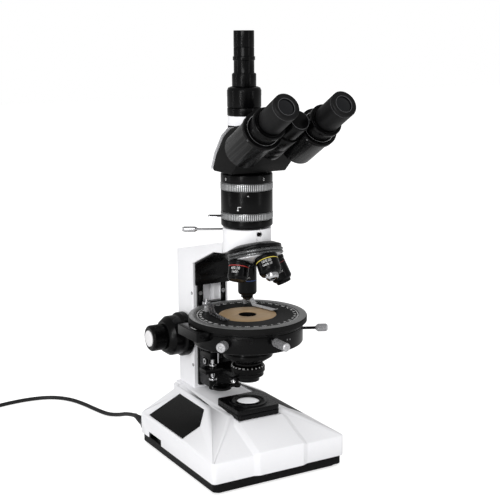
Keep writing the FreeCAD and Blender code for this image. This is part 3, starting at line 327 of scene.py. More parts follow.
# The lower layer is wound inwards and the upper one outwards. Each turn keeps its radius half the way
# round, then eases over to the next one's.
winding = [(r, z) for k, z in enumerate(coil_layers) for r in (coil_radii[::-1] if k == 0 else coil_radii)]
for k, (r, z) in enumerate(winding):
    onward = winding[min(k + 1, len(winding) - 1)]
    for step in range(points_per_turn):
        share = step / points_per_turn
        blend = max(0.0, (share - 0.5) * 2)
        angle = math.radians(coil_start + 360 * share)
        reach = r + (onward[0] - r) * blend
        height = z + (onward[1] - z) * blend
        coil_points.append((coil_x + reach * math.cos(angle), coil_y + reach * math.sin(angle), height))
line = bpy.data.curves.new("power_cord", "CURVE")
line.dimensions = "3D"
line.bevel_depth = cord_r * mm
line.bevel_resolution = 4
line.resolution_u = 6
line.use_fill_caps = True
spline = line.splines.new("NURBS")
route = cord_route[:-1] + coil_points
spline.points.add(len(route) - 1)
for point, spot in zip(spline.points, route):
    point.co = (*place(*spot), 1)
spline.order_u = 3
spline.use_endpoint_u = True
lead = bpy.data.objects.new("mains_lead", line)
bpy.context.scene.collection.objects.link(lead)
line.materials.append(vinyl)
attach(lead, "stand")
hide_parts("power_cord", "cord_coil")

# Base: the white shell is a metal casting, sprayed with a smooth enamel, over a black bottom plate on a
# rubber skid. Black vinyl panels are let into its sloping wings.
white_enamel = finish_of("white_enamel", (249, 249, 251), (246, 246, 249), (0.32, 0.42), 260, 0.02,
                         specular=0.3)
black_plastic = finish_of("black_plastic", (14, 14, 15), (9, 9, 10), (0.4, 0.55), 700, 0.05, specular=0.12)
panel_vinyl = finish_of("panel_vinyl", (17, 17, 17), (11, 11, 11), (0.42, 0.6), 1400, 0.08, specular=0.15)
zinc = finish_of("zinc", (176, 176, 178), (150, 150, 152), (0.25, 0.4), 500, 0.02, metallic=1.0)
board_green = finish_of("board_green", (32, 92, 58), (22, 74, 46), (0.35, 0.5), 900, 0.03)
sink_metal = finish_of("sink_metal", (190, 192, 194), (168, 170, 172), (0.3, 0.45), 600, 0.02,
                       metallic=1.0)
rubber = finish_of("rubber", (24, 24, 24), (16, 16, 16), (0.6, 0.8), 1200, 0.1, specular=0.15)
dressed("base_shell", "base_cover", "stand", white_enamel, "white_paint", edge=0.9, steps=2, crease=16)
dressed("bottom_plate", "base_plate", "stand", black_plastic, "black_paint", edge=0.5)
dressed("skid", "rubber_skid", "stand", rubber, "rubber", edge=0.8)
dressed("wing_panels", "inlay_panels", "stand", panel_vinyl, "black_paint", edge=0.2)
dressed("control_frames", "control_housings", "stand", black_plastic, "black_paint", edge=0.2)
dressed("rocker", "power_switch", "switch", black_plastic, "switch", edge=0.3)


def carried(node, finish):
    """A CAD node whose shape is right keeps it and gets its finish."""
    for slot_of_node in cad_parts[node].material_slots:
        slot_of_node.material = finish


carried("base_screws", zinc)
carried("driver_board", board_green)
carried("led_module", sink_metal)
carried("brightness_wheel", black_plastic)

# Illuminator: a square black lamp platform in two layers, with a turned ring that holds the field lens.
# The lens is ground white on its underside, over the light-emitting diode; a faint painted glow lifts it.
up = Vector((0, 0, 1))
axis_foot = place(0, 0, 0)
black_lacquer = finish_of("black_lacquer", (9, 9, 10), (6, 6, 7), (0.24, 0.34), 500, 0.006, specular=0.15)
ground_lens_painted_glow = finish_of("ground_lens_painted_glow", (250, 250, 253), (243, 243, 247), (0.3, 0.4), 300, 0.01,
                        specular=0.5, coat=1.0)
# Painted glow: the lens finish gives off a faint light of its own, though it is no lamp.
painted_glow_inputs = ground_lens_painted_glow.node_tree.nodes["Principled BSDF"].inputs
painted_glow_inputs["Emission Color"].default_value = (1.0, 1.0, 1.0, 1.0)
painted_glow_inputs["Emission Strength"].default_value = 0.3
dressed("lamp_platform", "lamp_housing", "stand", black_lacquer, "black_paint", edge=0.4)
turned("field_lens_glass", [
    (0, 64), (12.5, 64), (12.5, 68), (9.4, 68.43), (6.3, 68.75), (3.1, 68.94), (0, 69)],
    axis_foot, up, "stand", ground_lens_painted_glow, "lens", "field_lens", ease=0)
turned("lens_retainer", [(12.6, 68.2), (14.2, 68.2), (14.2, 69.7), (13.2, 69.7)], axis_foot, up, "stand",
       black_lacquer, "black_paint", ease=0.2)

# Arm: one casting with the haunched limb and the neck, sprayed white like the base. The black dovetail
# rails and their cover are screwed to its front with socket screws.
black_anodised = finish_of("black_anodised", (7, 7, 8), (4, 4, 4), (0.2, 0.28), 800, 0.004, specular=0.14)
screw_black = finish_of("screw_black", (10, 10, 11), (6, 6, 7), (0.3, 0.45), 900, 0.02, specular=0.15)
dressed("limb", "arm", "stand", white_enamel, "white_paint", edge=1.2, steps=3, crease=20)
dressed("dovetail_rails", "guide_rails", "stand", black_anodised, "black_paint", edge=0.3)
dressed("rail_cover", "guide_cover", "stand", black_lacquer, "black_paint", edge=0.5)


def socket_screw(name, at, axis, r, length, body, finish, slot_name, *nodes, proud=0.15):
    """A screw head seen from its driven end, which stands at the given place, with its socket."""
    turned(name, [
        (0, -length), (r, -length), (r, proud), (r * 0.55, proud), (r * 0.55, -r * 0.5), (0, -r * 0.6)],
        place(*at), Vector(axis), body, finish, slot_name, *nodes, ease=0.12, sides=36)


forward = Vector((0, -1, 0))
leftward = Vector((-1, 0, 0))
rail_face_y = 84
cover_face_y = 81.8
for k, (x, z) in enumerate([(-15, 76), (-15, 177.5), (15, 76), (15, 177.5)]):
    socket_screw(f"rail_screw_{k}", (x, rail_face_y, z), forward, 2.5, 0.9, "stand", zinc, "steel",
                 *(["arm_screws"] if k == 0 else []), proud=0)
for hand, x in (("left", -18.5), ("right", 18.5)):
    socket_screw(f"cover_screw_{hand}", (x, cover_face_y, 198), forward, 2.5, 1.0, "stand",
                 screw_black, "steel", proud=0)
socket_screw("neck_set_screw", (0, -26.1, 263.5), forward, 2.2, 5, "stand", screw_black, "steel")
for k, (y, z) in enumerate([(90.6, 177.3), (90.2, 90.0)]):
    socket_screw(f"side_screw_{k}", (-23.3, y, z), leftward, 1.8, 3, "stand", screw_black, "steel")

# Focus drive: the coarse knobs on the hollow shaft and the fine knobs on the shaft within it, turned
# from aluminium and anodised black, with bright end caps. The pinion drives the carriage's rack.
steel = finish_of("steel", (190, 190, 192), (165, 165, 168), (0.2, 0.32), 700, 0.01, metallic=1.0)
bright_cap = finish_of("bright_cap", (246, 245, 246), (238, 237, 238), (0.25, 0.35), 400, 0.01,
                       specular=0.4)
white_fill = finish_of("white_fill", (236, 236, 236), (222, 222, 222), (0.45, 0.6), 900, 0.01,
                       specular=0.2)
focus_y = 107.0
focus_z = 125.3
arm_half = 23.2
flange_end = 11.8
coarse_end = flange_end + 12
nose_end = coarse_end + 7
fine_start = nose_end + 0.3
fine_end = fine_start + 17.4
coarse_r = 25.7
drum_face_r = 23.4
fine_r = 15
cap_r = 9.6
white_dot_way = Vector((-0.2, -0.88, 0.42)).normalized()
for side, hand in ((-1, "left"), (1, "right")):
    axis = Vector((side, 0, 0))
    at = place(side * arm_half, focus_y, focus_z)
    coarse_nodes = ["coarse_knobs"] if side < 0 else []
    fine_nodes = ["fine_knobs"] if side < 0 else []
    turned(f"coarse_knob_{hand}", [
        (6, 0.3), (24.2, 0.3), (coarse_r, 1.8), (coarse_r, flange_end - 1.5), (24.2, flange_end),
        (drum_face_r, flange_end), (drum_face_r, flange_end + 2), (drum_face_r, coarse_end),
        (18.5, nose_end), (3.6, nose_end), (3.6, coarse_end), (6, coarse_end)],
        at, axis, "coarse_drive", black_anodised, "black_paint", *coarse_nodes, ease=0.5, sides=128,
        ribs=(1.9, flange_end - 1.6, 0.35))
    turned(f"fine_knob_{hand}", [
        (3.5, fine_start), (fine_r, fine_start), (fine_r, fine_end - 1.5), (13.5, fine_end),
        (cap_r, fine_end), (cap_r, fine_end - 1.6), (3.5, fine_end - 1.6)],
        at, axis, "fine_drive", black_anodised, "black_paint", *fine_nodes, ease=0.5,
        ribs=(fine_start + 1.4, fine_end - 2, 0.3))
    turned(f"fine_cap_{hand}", [
        (0, fine_end - 1.6), (cap_r, fine_end - 1.6), (cap_r, fine_end + 0.8), (8.8, fine_end + 1.6),
        (0, fine_end + 1.6)],
        at, axis, "fine_drive", bright_cap, "steel", ease=0.3)
# A small white dot on the left coarse knob.
white_dot_at = place(-arm_half - coarse_end + 3, 90.6, 133.3)
turned("coarse_knob_white_dot", [(0, -0.5), (1.1, -0.5), (1.1, 0.15), (0, 0.15)], white_dot_at,
       white_dot_way, "coarse_drive", white_fill, "steel", ease=0.1, sides=20)
carried("coarse_shaft", steel)
carried("fine_shaft", steel)
carried("carriage_rack", steel)

# Carriage: the black block that slides on the arm's rails and carries the stage and the condenser. A chrome
# screw on its left side clamps the condenser's slide, and a short steel rod stands beside it.
chrome = finish_of("chrome", (214, 214, 216), (196, 196, 198), (0.1, 0.2), 500, 0.01, metallic=1.0)
clamp_y = 68.6
clamp_z = 99.6
dressed("carriage", "carriage_block", "stage_carriage", black_lacquer, "black_paint", edge=0.6)
socket_screw("carriage_clamp", (-19.2, clamp_y, clamp_z), leftward, 3.4, 3, "stage_carriage", chrome,
             "steel")
turned("carriage_boss", [(0, 0), (5.2, 0), (5.2, 0.8), (4.2, 1.2), (0, 1.2)], place(-18, clamp_y, clamp_z),
       leftward, "stage_carriage", black_anodised, "black_paint", ease=0.2)
turned("carriage_spring", [(0, 0), (0.8, 0), (0.8, 17), (0.4, 17.6), (0, 17.6)],
       place(-26.9, 20, 111.8), up, "stage_carriage", steel, "steel", ease=0.1, sides=20)

# Rotating stage: the drum hangs on the carriage and the graduated disc turns in it. Both are turned
# from aluminium and anodised black; the disc's rim is left grey and its scale is engraved and filled white.
# ink is half the thickness of a mark in millimetres, letter_scale a font's size for a figure's height.
ink = 0.05
letter_scale = 1.4


def figure(words, height):
    """Figures as a thin shape in millimetres, centred on the origin and read along +X."""
    letters = bpy.data.curves.new("figure", "FONT")
    letters.body = words
    letters.size = height * letter_scale
    letters.align_x = "CENTER"
    letters.align_y = "CENTER"
    letters.resolution_u = 2
    letters.extrude = ink
    holder = bpy.data.objects.new("figure", letters)
    shape = bpy.data.meshes.new_from_object(holder)
    bpy.data.objects.remove(holder)
    return shape


def stroke(wide, high, x=0.0, y=0.0):
    """A thin bar in millimetres."""
    bm = bmesh.new()
    size = Matrix.Diagonal((wide, high, 2 * ink, 1))
    bmesh.ops.create_cube(bm, size=1, matrix=Matrix.Translation((x, y, 0)) @ size)
    shape = bpy.data.meshes.new("stroke")
    bm.to_mesh(shape)
    bm.free()
    return shape


def around(at, axis, facing, r, slope=0.0):
    """Lay marks round a turned face: +X runs round it and +Y along its axis, from the point that faces
    that way."""
    right = axis.cross(facing)

    def lay(p):
        reach = r + slope * p.y + p.z
        turn = p.x / r
        return place(*(at + axis * p.y + (facing * math.cos(turn) + right * math.sin(turn)) * reach))
    return lay


def toward(angle):
    """The level direction at so many degrees from +X."""
    return Vector((math.cos(math.radians(angle)), math.sin(math.radians(angle)), 0))


def flat_ring(r, angle, z):
    """Lay marks on a level face at the radius and angle, their tops toward the middle."""
    out = toward(angle)
    along = Vector((-out.y, out.x, 0))

    def lay(p):
        return place(*(out * (r - p.y) + along * p.x + up * (z + p.z)))
    return lay


def printed(name, marks, body, finish, slot_name):
    """Filled marks as one thin piece. marks is a list of a shape and the way that it's laid."""
    bm = bmesh.new()
    for shape, lay in marks:
        points = [bm.verts.new(lay(v.co)) for v in shape.vertices]
        for face in shape.polygons:
            bm.faces.new([points[i] for i in face.vertices])
    bmesh.ops.remove_doubles(bm, verts=bm.verts, dist=weld)
    bmesh.ops.recalc_face_normals(bm, faces=bm.faces)
    mesh = bpy.data.meshes.new(name)
    bm.to_mesh(mesh)
    bm.free()
    return fitted(name, mesh, body, finish, slot_name)


disc_r = 66
disc_top = 169.4
drum_r = 61.5
stage_foot = 163
insert_low = 166.4
rim_grey = finish_of("rim_grey", (150, 150, 150), (118, 118, 118), (0.3, 0.42), 900, 0.02, metallic=0.6)
brass = finish_of("brass", (196, 166, 126), (168, 138, 100), (0.35, 0.5), 60, 0.03, metallic=0.3)
turned("drum", [
    (16.1, 116), (17.8, 116), (28, 123), (28, 127.6), (26.5, 127.6), (26.5, 140), (60.5, 140),
    (drum_r, 141), (drum_r, 158.5), (61.0, 159), (61.0, 159.8), (drum_r, 160.3), (drum_r, 162.7),
    (55.5, 162.7), (55.5, 145), (30, 145), (30, 162.7), (24.1, 162.7), (24.1, 148.7), (16.1, 148.7)],
    axis_foot, up, "stage_carriage", black_anodised, "stage_black", "stage_drum", ease=0.3, sides=192)
matt_black = finish_of("matt_black", (22, 22, 22), (15, 15, 15), (0.45, 0.6), 1200, 0.02, specular=0.1)
turned("disc", [
    (18, 149), (24, 149), (24, stage_foot), (65.4, stage_foot), (disc_r, 163.6), (disc_r, 169.0),
    (65.2, 169.8), (57, 169.8), (57, disc_top), (32.1, disc_top), (32.1, insert_low), (18, insert_low)],
    axis_foot, up, "stage_table", matt_black, "stage_black", "stage_disc", ease=0.25, sides=192)
turned("disc_rim", [(57.4, 169.7), (65.4, 169.7), (65.4, 169.95), (57.4, 169.95)], axis_foot, up,
       "stage_table", rim_grey, "stage_black", ease=0.1, sides=192)
turned("stage_plate", [(10, insert_low), (32, insert_low), (32, disc_top), (10, disc_top)], axis_foot, up,
       "stage_table", brass, "brass", "stage_insert", ease=0.3, sides=128)
turned("hole_lining", [(9.6, insert_low), (9.95, insert_low), (9.95, 169.1), (9.6, 169.1)], axis_foot,
       up, "stage_table", screw_black, "brass", ease=0)
disc_face = 169.42
scale_r = 56.7
figures_r = 52.6
scale_start = -90
scale_marks = []
for degree in range(360):
    reach = 2.2 if degree % 10 == 0 else 1.7 if degree % 5 == 0 else 1.2
    lay = flat_ring(scale_r, degree + scale_start, disc_face)
    scale_marks.append((stroke(0.24, reach, y=reach / 2), lay))
for degree in range(0, 360, 10):
    lay = flat_ring(figures_r, degree + scale_start, disc_face)
    scale_marks.append((figure(str(degree), 2.6), lay))
printed("disc_scale", scale_marks, "stage_table", white_fill, "stage_black")
dressed("vernier_plate", "stage_vernier", "stage_carriage", black_anodised, "stage_black", edge=0.4)
vernier_marks = [
    (stroke(0.3, 2.6 if k % 5 == 0 else 1.6), flat_ring(68.0, 180 + 0.9 * k, 162.75))
    for k in range(-5, 6)]
printed("vernier_scale", vernier_marks, "stage_carriage", white_fill, "stage_black")
drum_plug_way = toward(242.9)
turned("drum_plug", [(0, -1), (3.4, -1), (3.4, 0.5), (1.8, 0.5), (1.8, -0.4), (0, -0.4)],
       place(*(drum_plug_way * drum_r + up * 156.3)), drum_plug_way, "stage_carriage", screw_black,
       "steel", ease=0.2)
drum_screws = [(236, 159.3, 1.4), (233.2, 150.9, 1.3), (284, 152.5, 0.9), (288.1, 152.0, 0.9)]
for k, (angle, z, r) in enumerate(drum_screws):
    socket_screw(f"drum_screw_{k}", toward(angle) * drum_r + up * z, toward(angle), r, 2, "stage_carriage",
                 screw_black if k < 2 else zinc, "steel")
printed("drum_slot", [(stroke(27, 5.4), around(up * 152.8, up, toward(272.5), drum_r + 0.02))],
        "stage_carriage", screw_black, "stage_black")

# On the disc stand two clip posts with their spring clips. The lock screw and the two centring screws
# reach into the drum from outside, with knurled, plated knobs.
clip_metal = finish_of("clip_metal", (206, 206, 208), (184, 184, 186), (0.22, 0.34), 500, 0.01,
                       metallic=0.55)
# A darker copy of the plated clip metal for the knobs' sunk strips: painted shade between the ribs.
clip_metal_painted_shade = finish_of("clip_metal_painted_shade", (104, 104, 106), (84, 84, 86), (0.3, 0.42), 700, 0.01, metallic=0.6)
left_post = (-33.4, 34.3)
right_post = (21.0, 43.0)
post_foot = [(0, 165), (2.4, 165)]
pin_top = [(2.4, 176), (1.6, 177), (1.6, 180.5), (0.9, 181.5), (0.9, 184), (0, 184)]
knob_top = [(2.4, 180.9), (5.6, 181.3), (5.6, 183.2), (4.8, 184), (0, 184)]
for hand, (x, y), profile in (
    ("left", left_post, post_foot + pin_top),
    ("right", right_post, post_foot + knob_top),
):
    turned(f"clip_post_{hand}", profile, place(x, y, 0), up, "stage_table", clip_metal, "steel",
           ease=0.2, sides=40)
dressed("clip_spring_left", "left_clip", "left_clip", steel, "steel", edge=0.15)
dressed("clip_spring_right", "right_clip", "right_clip", clip_metal, "steel", edge=0.15)
lock = toward(-26.1)
lock_at = place(0, 0, 152)
turned("lock_rod", [(0, 52.5), (1.6, 52.5), (1.6, 76.4), (0, 76.4)], lock_at, lock, "stage_lock",
       black_anodised, "steel", "stage_lock", ease=0.1, sides=32)
turned("lock_knob", [(0, 75.6), (1.9, 76), (4.25, 78.4), (4.25, 88), (3.2, 89.5), (0, 89.5)], lock_at,
       lock, "stage_lock", clip_metal, "steel", ease=0.25, sides=36, ribs=(78.6, 87.8, 0.15),
       groove_shade=clip_metal_painted_shade)
rod_start = 52.5
front_x = -4.0
front_at = place(front_x, -math.sqrt(rod_start ** 2 - front_x ** 2), 154.0)
turned("front_centring_rod", [(0, 0), (2.5, 0), (2.5, 14), (0, 14)], front_at, forward,
       "front_centring_screw", chrome, "steel", "front_centring_screw", ease=0.1, sides=32)
turned("front_centring_knob", [
    (0, 13.5), (3.7, 13.5), (4.5, 14.5), (4.5, 36.3), (3.3, 37.5), (1.6, 37.5), (1.6, 36.2), (0, 36.2)],
    front_at, forward, "front_centring_screw", clip_metal, "steel", ease=0.25, sides=40,
    ribs=(15, 36, 0.18), groove_shade=clip_metal_painted_shade)
left = toward(218.3)
left_at = place(0, 0, 151.5)
turned("left_centring_rod", [
    (0, rod_start), (2.5, rod_start), (2.5, 61), (3.4, 62), (3.4, 64.5), (2.5, 65.6), (0, 65.6)],
    left_at, left, "left_centring_screw", chrome, "steel", "left_centring_screw", ease=0.2, sides=32)
turned("left_centring_knob", [
    (0, 65.5), (4.45, 65.5), (5.25, 66.5), (5.25, 76), (4.25, 77), (2.4, 77), (2.4, 75.4), (0, 75.4)],
    left_at, left, "left_centring_screw", clip_metal, "steel", ease=0.25, sides=44,
    ribs=(66.8, 75.8, 0.2), groove_shade=clip_metal_painted_shade)

# Condenser: a lens barrel in a carrier on the carriage, with a rotating polarizer ring, an iris lever
# and a swing-out filter holder under it. The lift screw stands at its left with a black knurled knob.
dressed("condenser_fork", "condenser_carrier", "condenser", black_lacquer, "black_paint", edge=0.4)
turned("condenser_body", [
    (9, 93.7), (13, 93.7), (13, 112.6), (15.5, 112.6), (15.5, 124), (15.1, 124.4), (15.1, 125.2),
    (15.5, 125.6), (15.5, 158), (14.5, 159), (11, 159), (11, 155), (9, 155)],
    axis_foot, up, "condenser", black_anodised, "black_paint", "condenser_barrel", ease=0.25)
# The condenser's lens takes the field lens's finish, painted glow and all.
turned("condenser_lens", [
    (0, 155), (11, 155), (11, 159), (8.2, 159.9), (5.5, 160.5), (2.7, 160.9), (0, 161)],
    axis_foot, up, "condenser", ground_lens_painted_glow, "lens", ease=0)
turned("polarizer_grip", [
    (13.1, 104.3), (18.4, 104.3), (19, 104.9), (19, 110.4), (17.6, 112), (13.1, 112)],
    axis_foot, up, "polarizer", black_anodised, "black_paint", "polarizer_ring", ease=0.2, sides=120,
    ribs=(105.1, 109.6, 0.2))
polarizer_marks = [
    (figure(str(k), 1.3), around(up * 111.1, up, toward(k + 240), 18.43, slope=-0.875))
    for k in range(0, 360, 15)]
printed("polarizer_scale", polarizer_marks, "polarizer", white_fill, "black_paint")
turned("iris_grip", [(13.1, 99.6), (17.5, 99.6), (17.5, 104), (13.1, 104)], axis_foot, up, "iris",
       black_anodised, "black_paint", "iris_ring", ease=0.3, sides=96, ribs=(100.2, 103.5, 0.2))
turned("iris_lever", [(0, 16.5), (1.3, 16.5), (1.1, 27), (2.1, 28), (2.1, 30), (1.5, 30.5), (0, 30.5)],
       place(0, 0, 101.8), toward(200), "iris", black_anodised, "black_paint", ease=0.15, sides=32)
dressed("filter_frame", "filter_holder", "filter", black_anodised, "black_paint", edge=0.2)
socket_screw("condenser_clamp", (-11.2, 14, 89.6), (-0.62, -0.78, 0), 2.7, 5, "condenser", chrome, "steel")
lift_at = place(-20.8, 45, 0)
turned("lift_knob", [(0, 73), (4.1, 73), (4.65, 73.6), (4.65, 84), (0, 84)], lift_at, up, "lift_screw",
       black_anodised, "steel", "lift_screw", ease=0.2, sides=48, ribs=(74, 83.6, 0.15))
turned("lift_knob_ring", [(0, 84.1), (4.6, 84.1), (4.6, 86.1), (4, 86.7), (0, 86.7)], lift_at, up,
       "lift_screw", chrome, "steel", ease=0.2, sides=48)
turned("lift_spindle", [(0, 86.8), (2.2, 86.8), (2.2, 123.4), (1.6, 124), (0, 124)], lift_at, up,
       "lift_screw", chrome, "steel", ease=0.1, sides=32)
turned("lift_nut", [(2.3, 99.4), (4.2, 99.4), (4.2, 102.4), (3.6, 103), (2.3, 103)], lift_at, up,
       "condenser", chrome, "steel", ease=0.2, sides=32)

# Nosepiece: a turned metal turret with two ribbed grips, on an axis that leans forward. Four black
# objectives of different lengths are screwed into its seats, and each in turn clicks under the arm.
dark_chrome = finish_of("dark_chrome", (150, 151, 152), (122, 123, 124), (0.2, 0.34), 600, 0.02,
                        metallic=0.9)
seat_metal = finish_of("seat_metal", (214, 214, 216), (196, 196, 198), (0.25, 0.38), 600, 0.02,
                       metallic=0.35)
apex = up * 296.0
turret_at = place(*apex)
lean = math.radians(18)
turret_axis = Vector((0, -math.sin(lean), -math.cos(lean)))
seat_distance = 68.0
objective_thread = [(6.2, -2.5), (9, -2.5), (9, 0)]
line_step = 3.9
tip_inset = 0.15
ring_proud = 0.06
ring_wide = 0.8
ring_deep = 0.5
figures_way = Vector((-0.499, -0.866, 0.0))
figures_way_4x = Vector((-0.75, -0.66, 0))
dressed("turret_cap", "nosepiece_mount", "stand", black_lacquer, "black_paint", edge=0.5)
dressed("turret_body", "turret", "nosepiece", seat_metal, "black_paint", edge=0.3)
# The grips' sunk strips are painted black: painted shade between the ribs.
for name, low, high, nodes in (
    ("turret_grip_upper", 55, 57.7, ["turret_band"]),
    ("turret_grip_lower", 58.5, 61.2, []),
):
    turned(name, [
        (27.6, low), (29.9, low), (30.5, low + 0.5), (30.5, high - 0.5), (29.9, high), (27.6, high)],
        turret_at, turret_axis, "nosepiece", dark_chrome, "steel", *nodes, ease=0.15, sides=108,
        ribs=(low + 0.4, high - 0.4, 0.1), groove_shade=screw_black)
turned("turret_groove", [(27.6, 57.5), (29.6, 57.5), (29.6, 58.7), (27.6, 58.7)], turret_at, turret_axis,
       "nosepiece", screw_black, "steel", ease=0)
ring_colours = {
    "red": finish_of("red_fill", (176, 52, 48), (160, 44, 40), (0.4, 0.5), 900, 0.01),
    "yellow": finish_of("yellow_fill", (222, 204, 88), (206, 188, 76), (0.4, 0.5), 900, 0.01),
    "blue": finish_of("blue_fill", (44, 74, 132), (36, 62, 116), (0.4, 0.5), 900, 0.01),
    "dark_red": finish_of("dark_red_fill", (104, 22, 28), (90, 18, 24), (0.4, 0.5), 900, 0.01),
}
for name, turn, colour, ring_at, words, words_at, tip, profile in (
    ("objective_40x", 0, "blue", 18.5, [("40/0.65", 1.5)], 15.0, 35.2, [
        (11.6, 0), (11.6, 3.2), (10.4, 4), (10.4, 32.8), (9.2, 34.8), (6.9, 35.2), (6, 39), (2.8, 42.1)]),
    ("objective_60x", 90, "dark_red", 6.5, [("60/0.85", 2.2), ("160/0.17", 2.0)], 12.5, 26.9, [
        (11.6, 0), (11.6, 3.2), (11, 4), (11, 24.5), (9.4, 26.5), (8.6, 26.9), (8, 29.7)]),
    ("objective_10x", 180, "yellow", 4.6, [("10/0.25", 2.8), ("160/0.17", 2.4)], 8.0, 20.2, [
        (12.8, 0), (12.8, 3), (12.2, 3.8), (12.2, 16.5), (10.6, 19.6), (7.6, 20.2), (7, 24), (5.6, 25.9)]),
    ("objective_4x", 270, "red", 5.4, [("4/0.10", 3.0), ("160/-", 2.8)], 9.0, 19.2, [
        (11.8, 0), (11.8, 3), (11, 3.8), (11, 17), (10, 19.2), (9.4, 20.6)]),
):
    aim = Matrix.Rotation(math.radians(turn), 3, turret_axis) @ Vector((0, 0, -1))
    seat = apex + aim * seat_distance
    seat_at = place(*seat)
    tip_profile = [point for point in profile if point[1] >= tip]
    shell = [point for point in profile if point[1] < tip]
    tip_r, length = profile[-1]
    tip_finish = chrome if colour == "yellow" else black_anodised
    turned(f"{name}_shell", objective_thread + shell + [(tip_profile[0][0], tip), (6.2, tip)],
           seat_at, aim, "nosepiece", black_anodised, "black_paint", name, ease=0.35, sides=72)
    front_lens = [(tip_r * 0.6, length), (tip_r * 0.5, length - 0.5), (0, length - 0.5)]
    turned(f"{name}_tip", [(0, tip - 0.2)] + [(r - tip_inset, s) for r, s in tip_profile] + front_lens,
           seat_at, aim, "nosepiece", tip_finish, "steel", ease=0.15, sides=64)
    ring_r = [r for r, s in profile if s <= ring_at][-1] + ring_proud
    turned(f"{name}_ring", [
        (ring_r - ring_deep, ring_at), (ring_r, ring_at), (ring_r, ring_at + ring_wide),
        (ring_r - ring_deep, ring_at + ring_wide)],
        seat_at, aim, "nosepiece", ring_colours[colour], "steel", ease=0, sides=72)
    facing = figures_way_4x if name == "objective_4x" else figures_way
    facing = (facing - aim * facing.dot(aim)).normalized()
    lines = []
    for k, (text_line, height) in enumerate(words):
        line_at = seat + aim * (words_at + line_step * k)
        lines.append((figure(text_line, height), around(line_at, -aim, facing, ring_r - ring_proud / 2)))
    printed(f"{name}_figures", lines, "nosepiece", white_fill, "steel")

# Analyser tube: a black turned body between neck and head, with two ribbed bright rings. The lower ring
# turns the analyser by its flat lever; the rod below it slides the compensator through the neck.
tube_r = 28.2
print_r = 28.22
lever_angle = 149
satin = finish_of("satin_aluminium", (222, 223, 224), (196, 197, 198), (0.25, 0.38), 700, 0.02,
                  metallic=0.9)
turned("analyser_body", [
    (15, 268.4), (25.2, 268.4), (tube_r, 271.4), (tube_r, 278.2), (24, 278.2), (24, 286.4),
    (tube_r, 286.4), (tube_r, 309.9), (24, 309.9), (24, 318.5), (tube_r, 318.5), (tube_r, 326.9),
    (27.0, 328.5), (15, 328.5)],
    axis_foot, up, "stand", black_anodised, "tube_black", "analyser_tube", ease=0.4, sides=128)
# The grips' sunk strips are painted black: painted shade between the bright ribs.
turned("analyser_grip", [(24.1, 278.5), (tube_r, 278.5), (tube_r, 286.1), (24.1, 286.1)], axis_foot, up,
       "analyser", satin, "steel", "analyser_ring", ease=0.3, sides=84, ribs=(279, 285.6, 0.3),
       groove_shade=screw_black)
turned("bertrand_grip", [(24.1, 310.2), (tube_r, 310.2), (tube_r, 318.2), (24.1, 318.2)], axis_foot, up,
       "bertrand", satin, "steel", "bertrand_ring", ease=0.3, sides=84, ribs=(310.7, 317.8, 0.3),
       groove_shade=screw_black)
lever_way = toward(lever_angle)


def bar(name, near, far, wide, low, high, body, finish, slot_name, edge=0.3):
    """A flat lever along lever_way between two distances from the optical axis."""
    middle = lever_way * ((near + far) / 2) + up * ((low + high) / 2)
    size = Matrix.Diagonal((far - near, wide, high - low, 1))
    turn = Matrix.Rotation(math.radians(lever_angle), 4, "Z") @ size
    bm = bmesh.new()
    bmesh.ops.create_cube(bm, size=mm, matrix=Matrix.Translation(place(*middle)) @ turn)
    bmesh.ops.bevel(bm, geom=bm.edges[:], offset=edge * mm, segments=2, profile=0.5, affect="EDGES",
                    clamp_overlap=True)
    mesh = bpy.data.meshes.new(name)
    bm.to_mesh(mesh)
    bm.free()
    shaded(mesh)
    return fitted(name, mesh, body, finish, slot_name)


bar("analyser_lever", 27.0, 42.0, 4.4, 280.0, 281.3, "analyser", black_lacquer, "tube_black")
bar("analyser_lever_foot", 27.0, 41.6, 4.0, 278.9, 280.0, "analyser", chrome, "steel")
turned("compensator_rod", [
    (0, 10), (1.3, 10), (1.3, 54), (2.2, 55), (3, 57), (3, 69), (1.8, 71), (0, 71)],
    place(0, 0, 265.5), lever_way, "compensator", chrome, "steel", "compensator_slider", ease=0.2,
    sides=40)
printed("analyser_marks", [
    (figure("0", 3.2), around(up * 322.6, up, toward(187.9), print_r)),
    (figure("2", 3.2), around(up * 322.8, up, toward(280.6), print_r)),
    (stroke(3.6, 0.6), around(up * 293.8, up, toward(224.0), print_r)),
    (stroke(0.7, 4.2), around(up * 291.8, up, toward(220.5), print_r)),
    (stroke(1.9, 0.9), around(up * 290.4, up, toward(220.5), print_r)),
    (figure("45", 1.5), around(up * 305.6, up, toward(243.0), print_r)),
], "stand", white_fill, "tube_black")
printed("analyser_index", [(stroke(1.2, 1.2), around(up * 282.3, up, toward(185.7), print_r + 0.02))],
        "analyser", white_fill, "steel")

# Head: a black housing with a white back, on a dovetail that lets it turn. The vertical phototube screws
# on its riser, and two eyepiece tubes swing about one leaning hub to suit the distance between the eyes.
riser = place(0, 4, 0)
dressed("head", "head_housing", "head", matt_black, "tube_black", edge=0.8)
turned("riser_collar", [(17.0, 378.8), (18.2, 378.8), (18.2, 388.8), (17.0, 388.8)], riser, up, "head",
       white_enamel, "white_paint", ease=0.2)
back_half = 33.6
back_line = [(18.4, 332.0), (18.4, 333.6), (10.6, 349.9), (-5.8, 370.1), (-19.6, 378.7)]
bm = bmesh.new()
rows = []
for out, lift in ((0.1, 0.1), (0.55, 0.3)):
    for x in (-back_half, back_half):
        rows.append([bm.verts.new(place(x, y + out, z + lift)) for y, z in back_line])
inner_left, inner_right, outer_left, outer_right = rows
back_sides = [
    (inner_left, inner_right), (outer_left, outer_right), (inner_left, outer_left),
    (inner_right, outer_right)]
for a, b in back_sides:
    for k in range(len(back_line) - 1):
        bm.faces.new((a[k], a[k + 1], b[k + 1], b[k]))
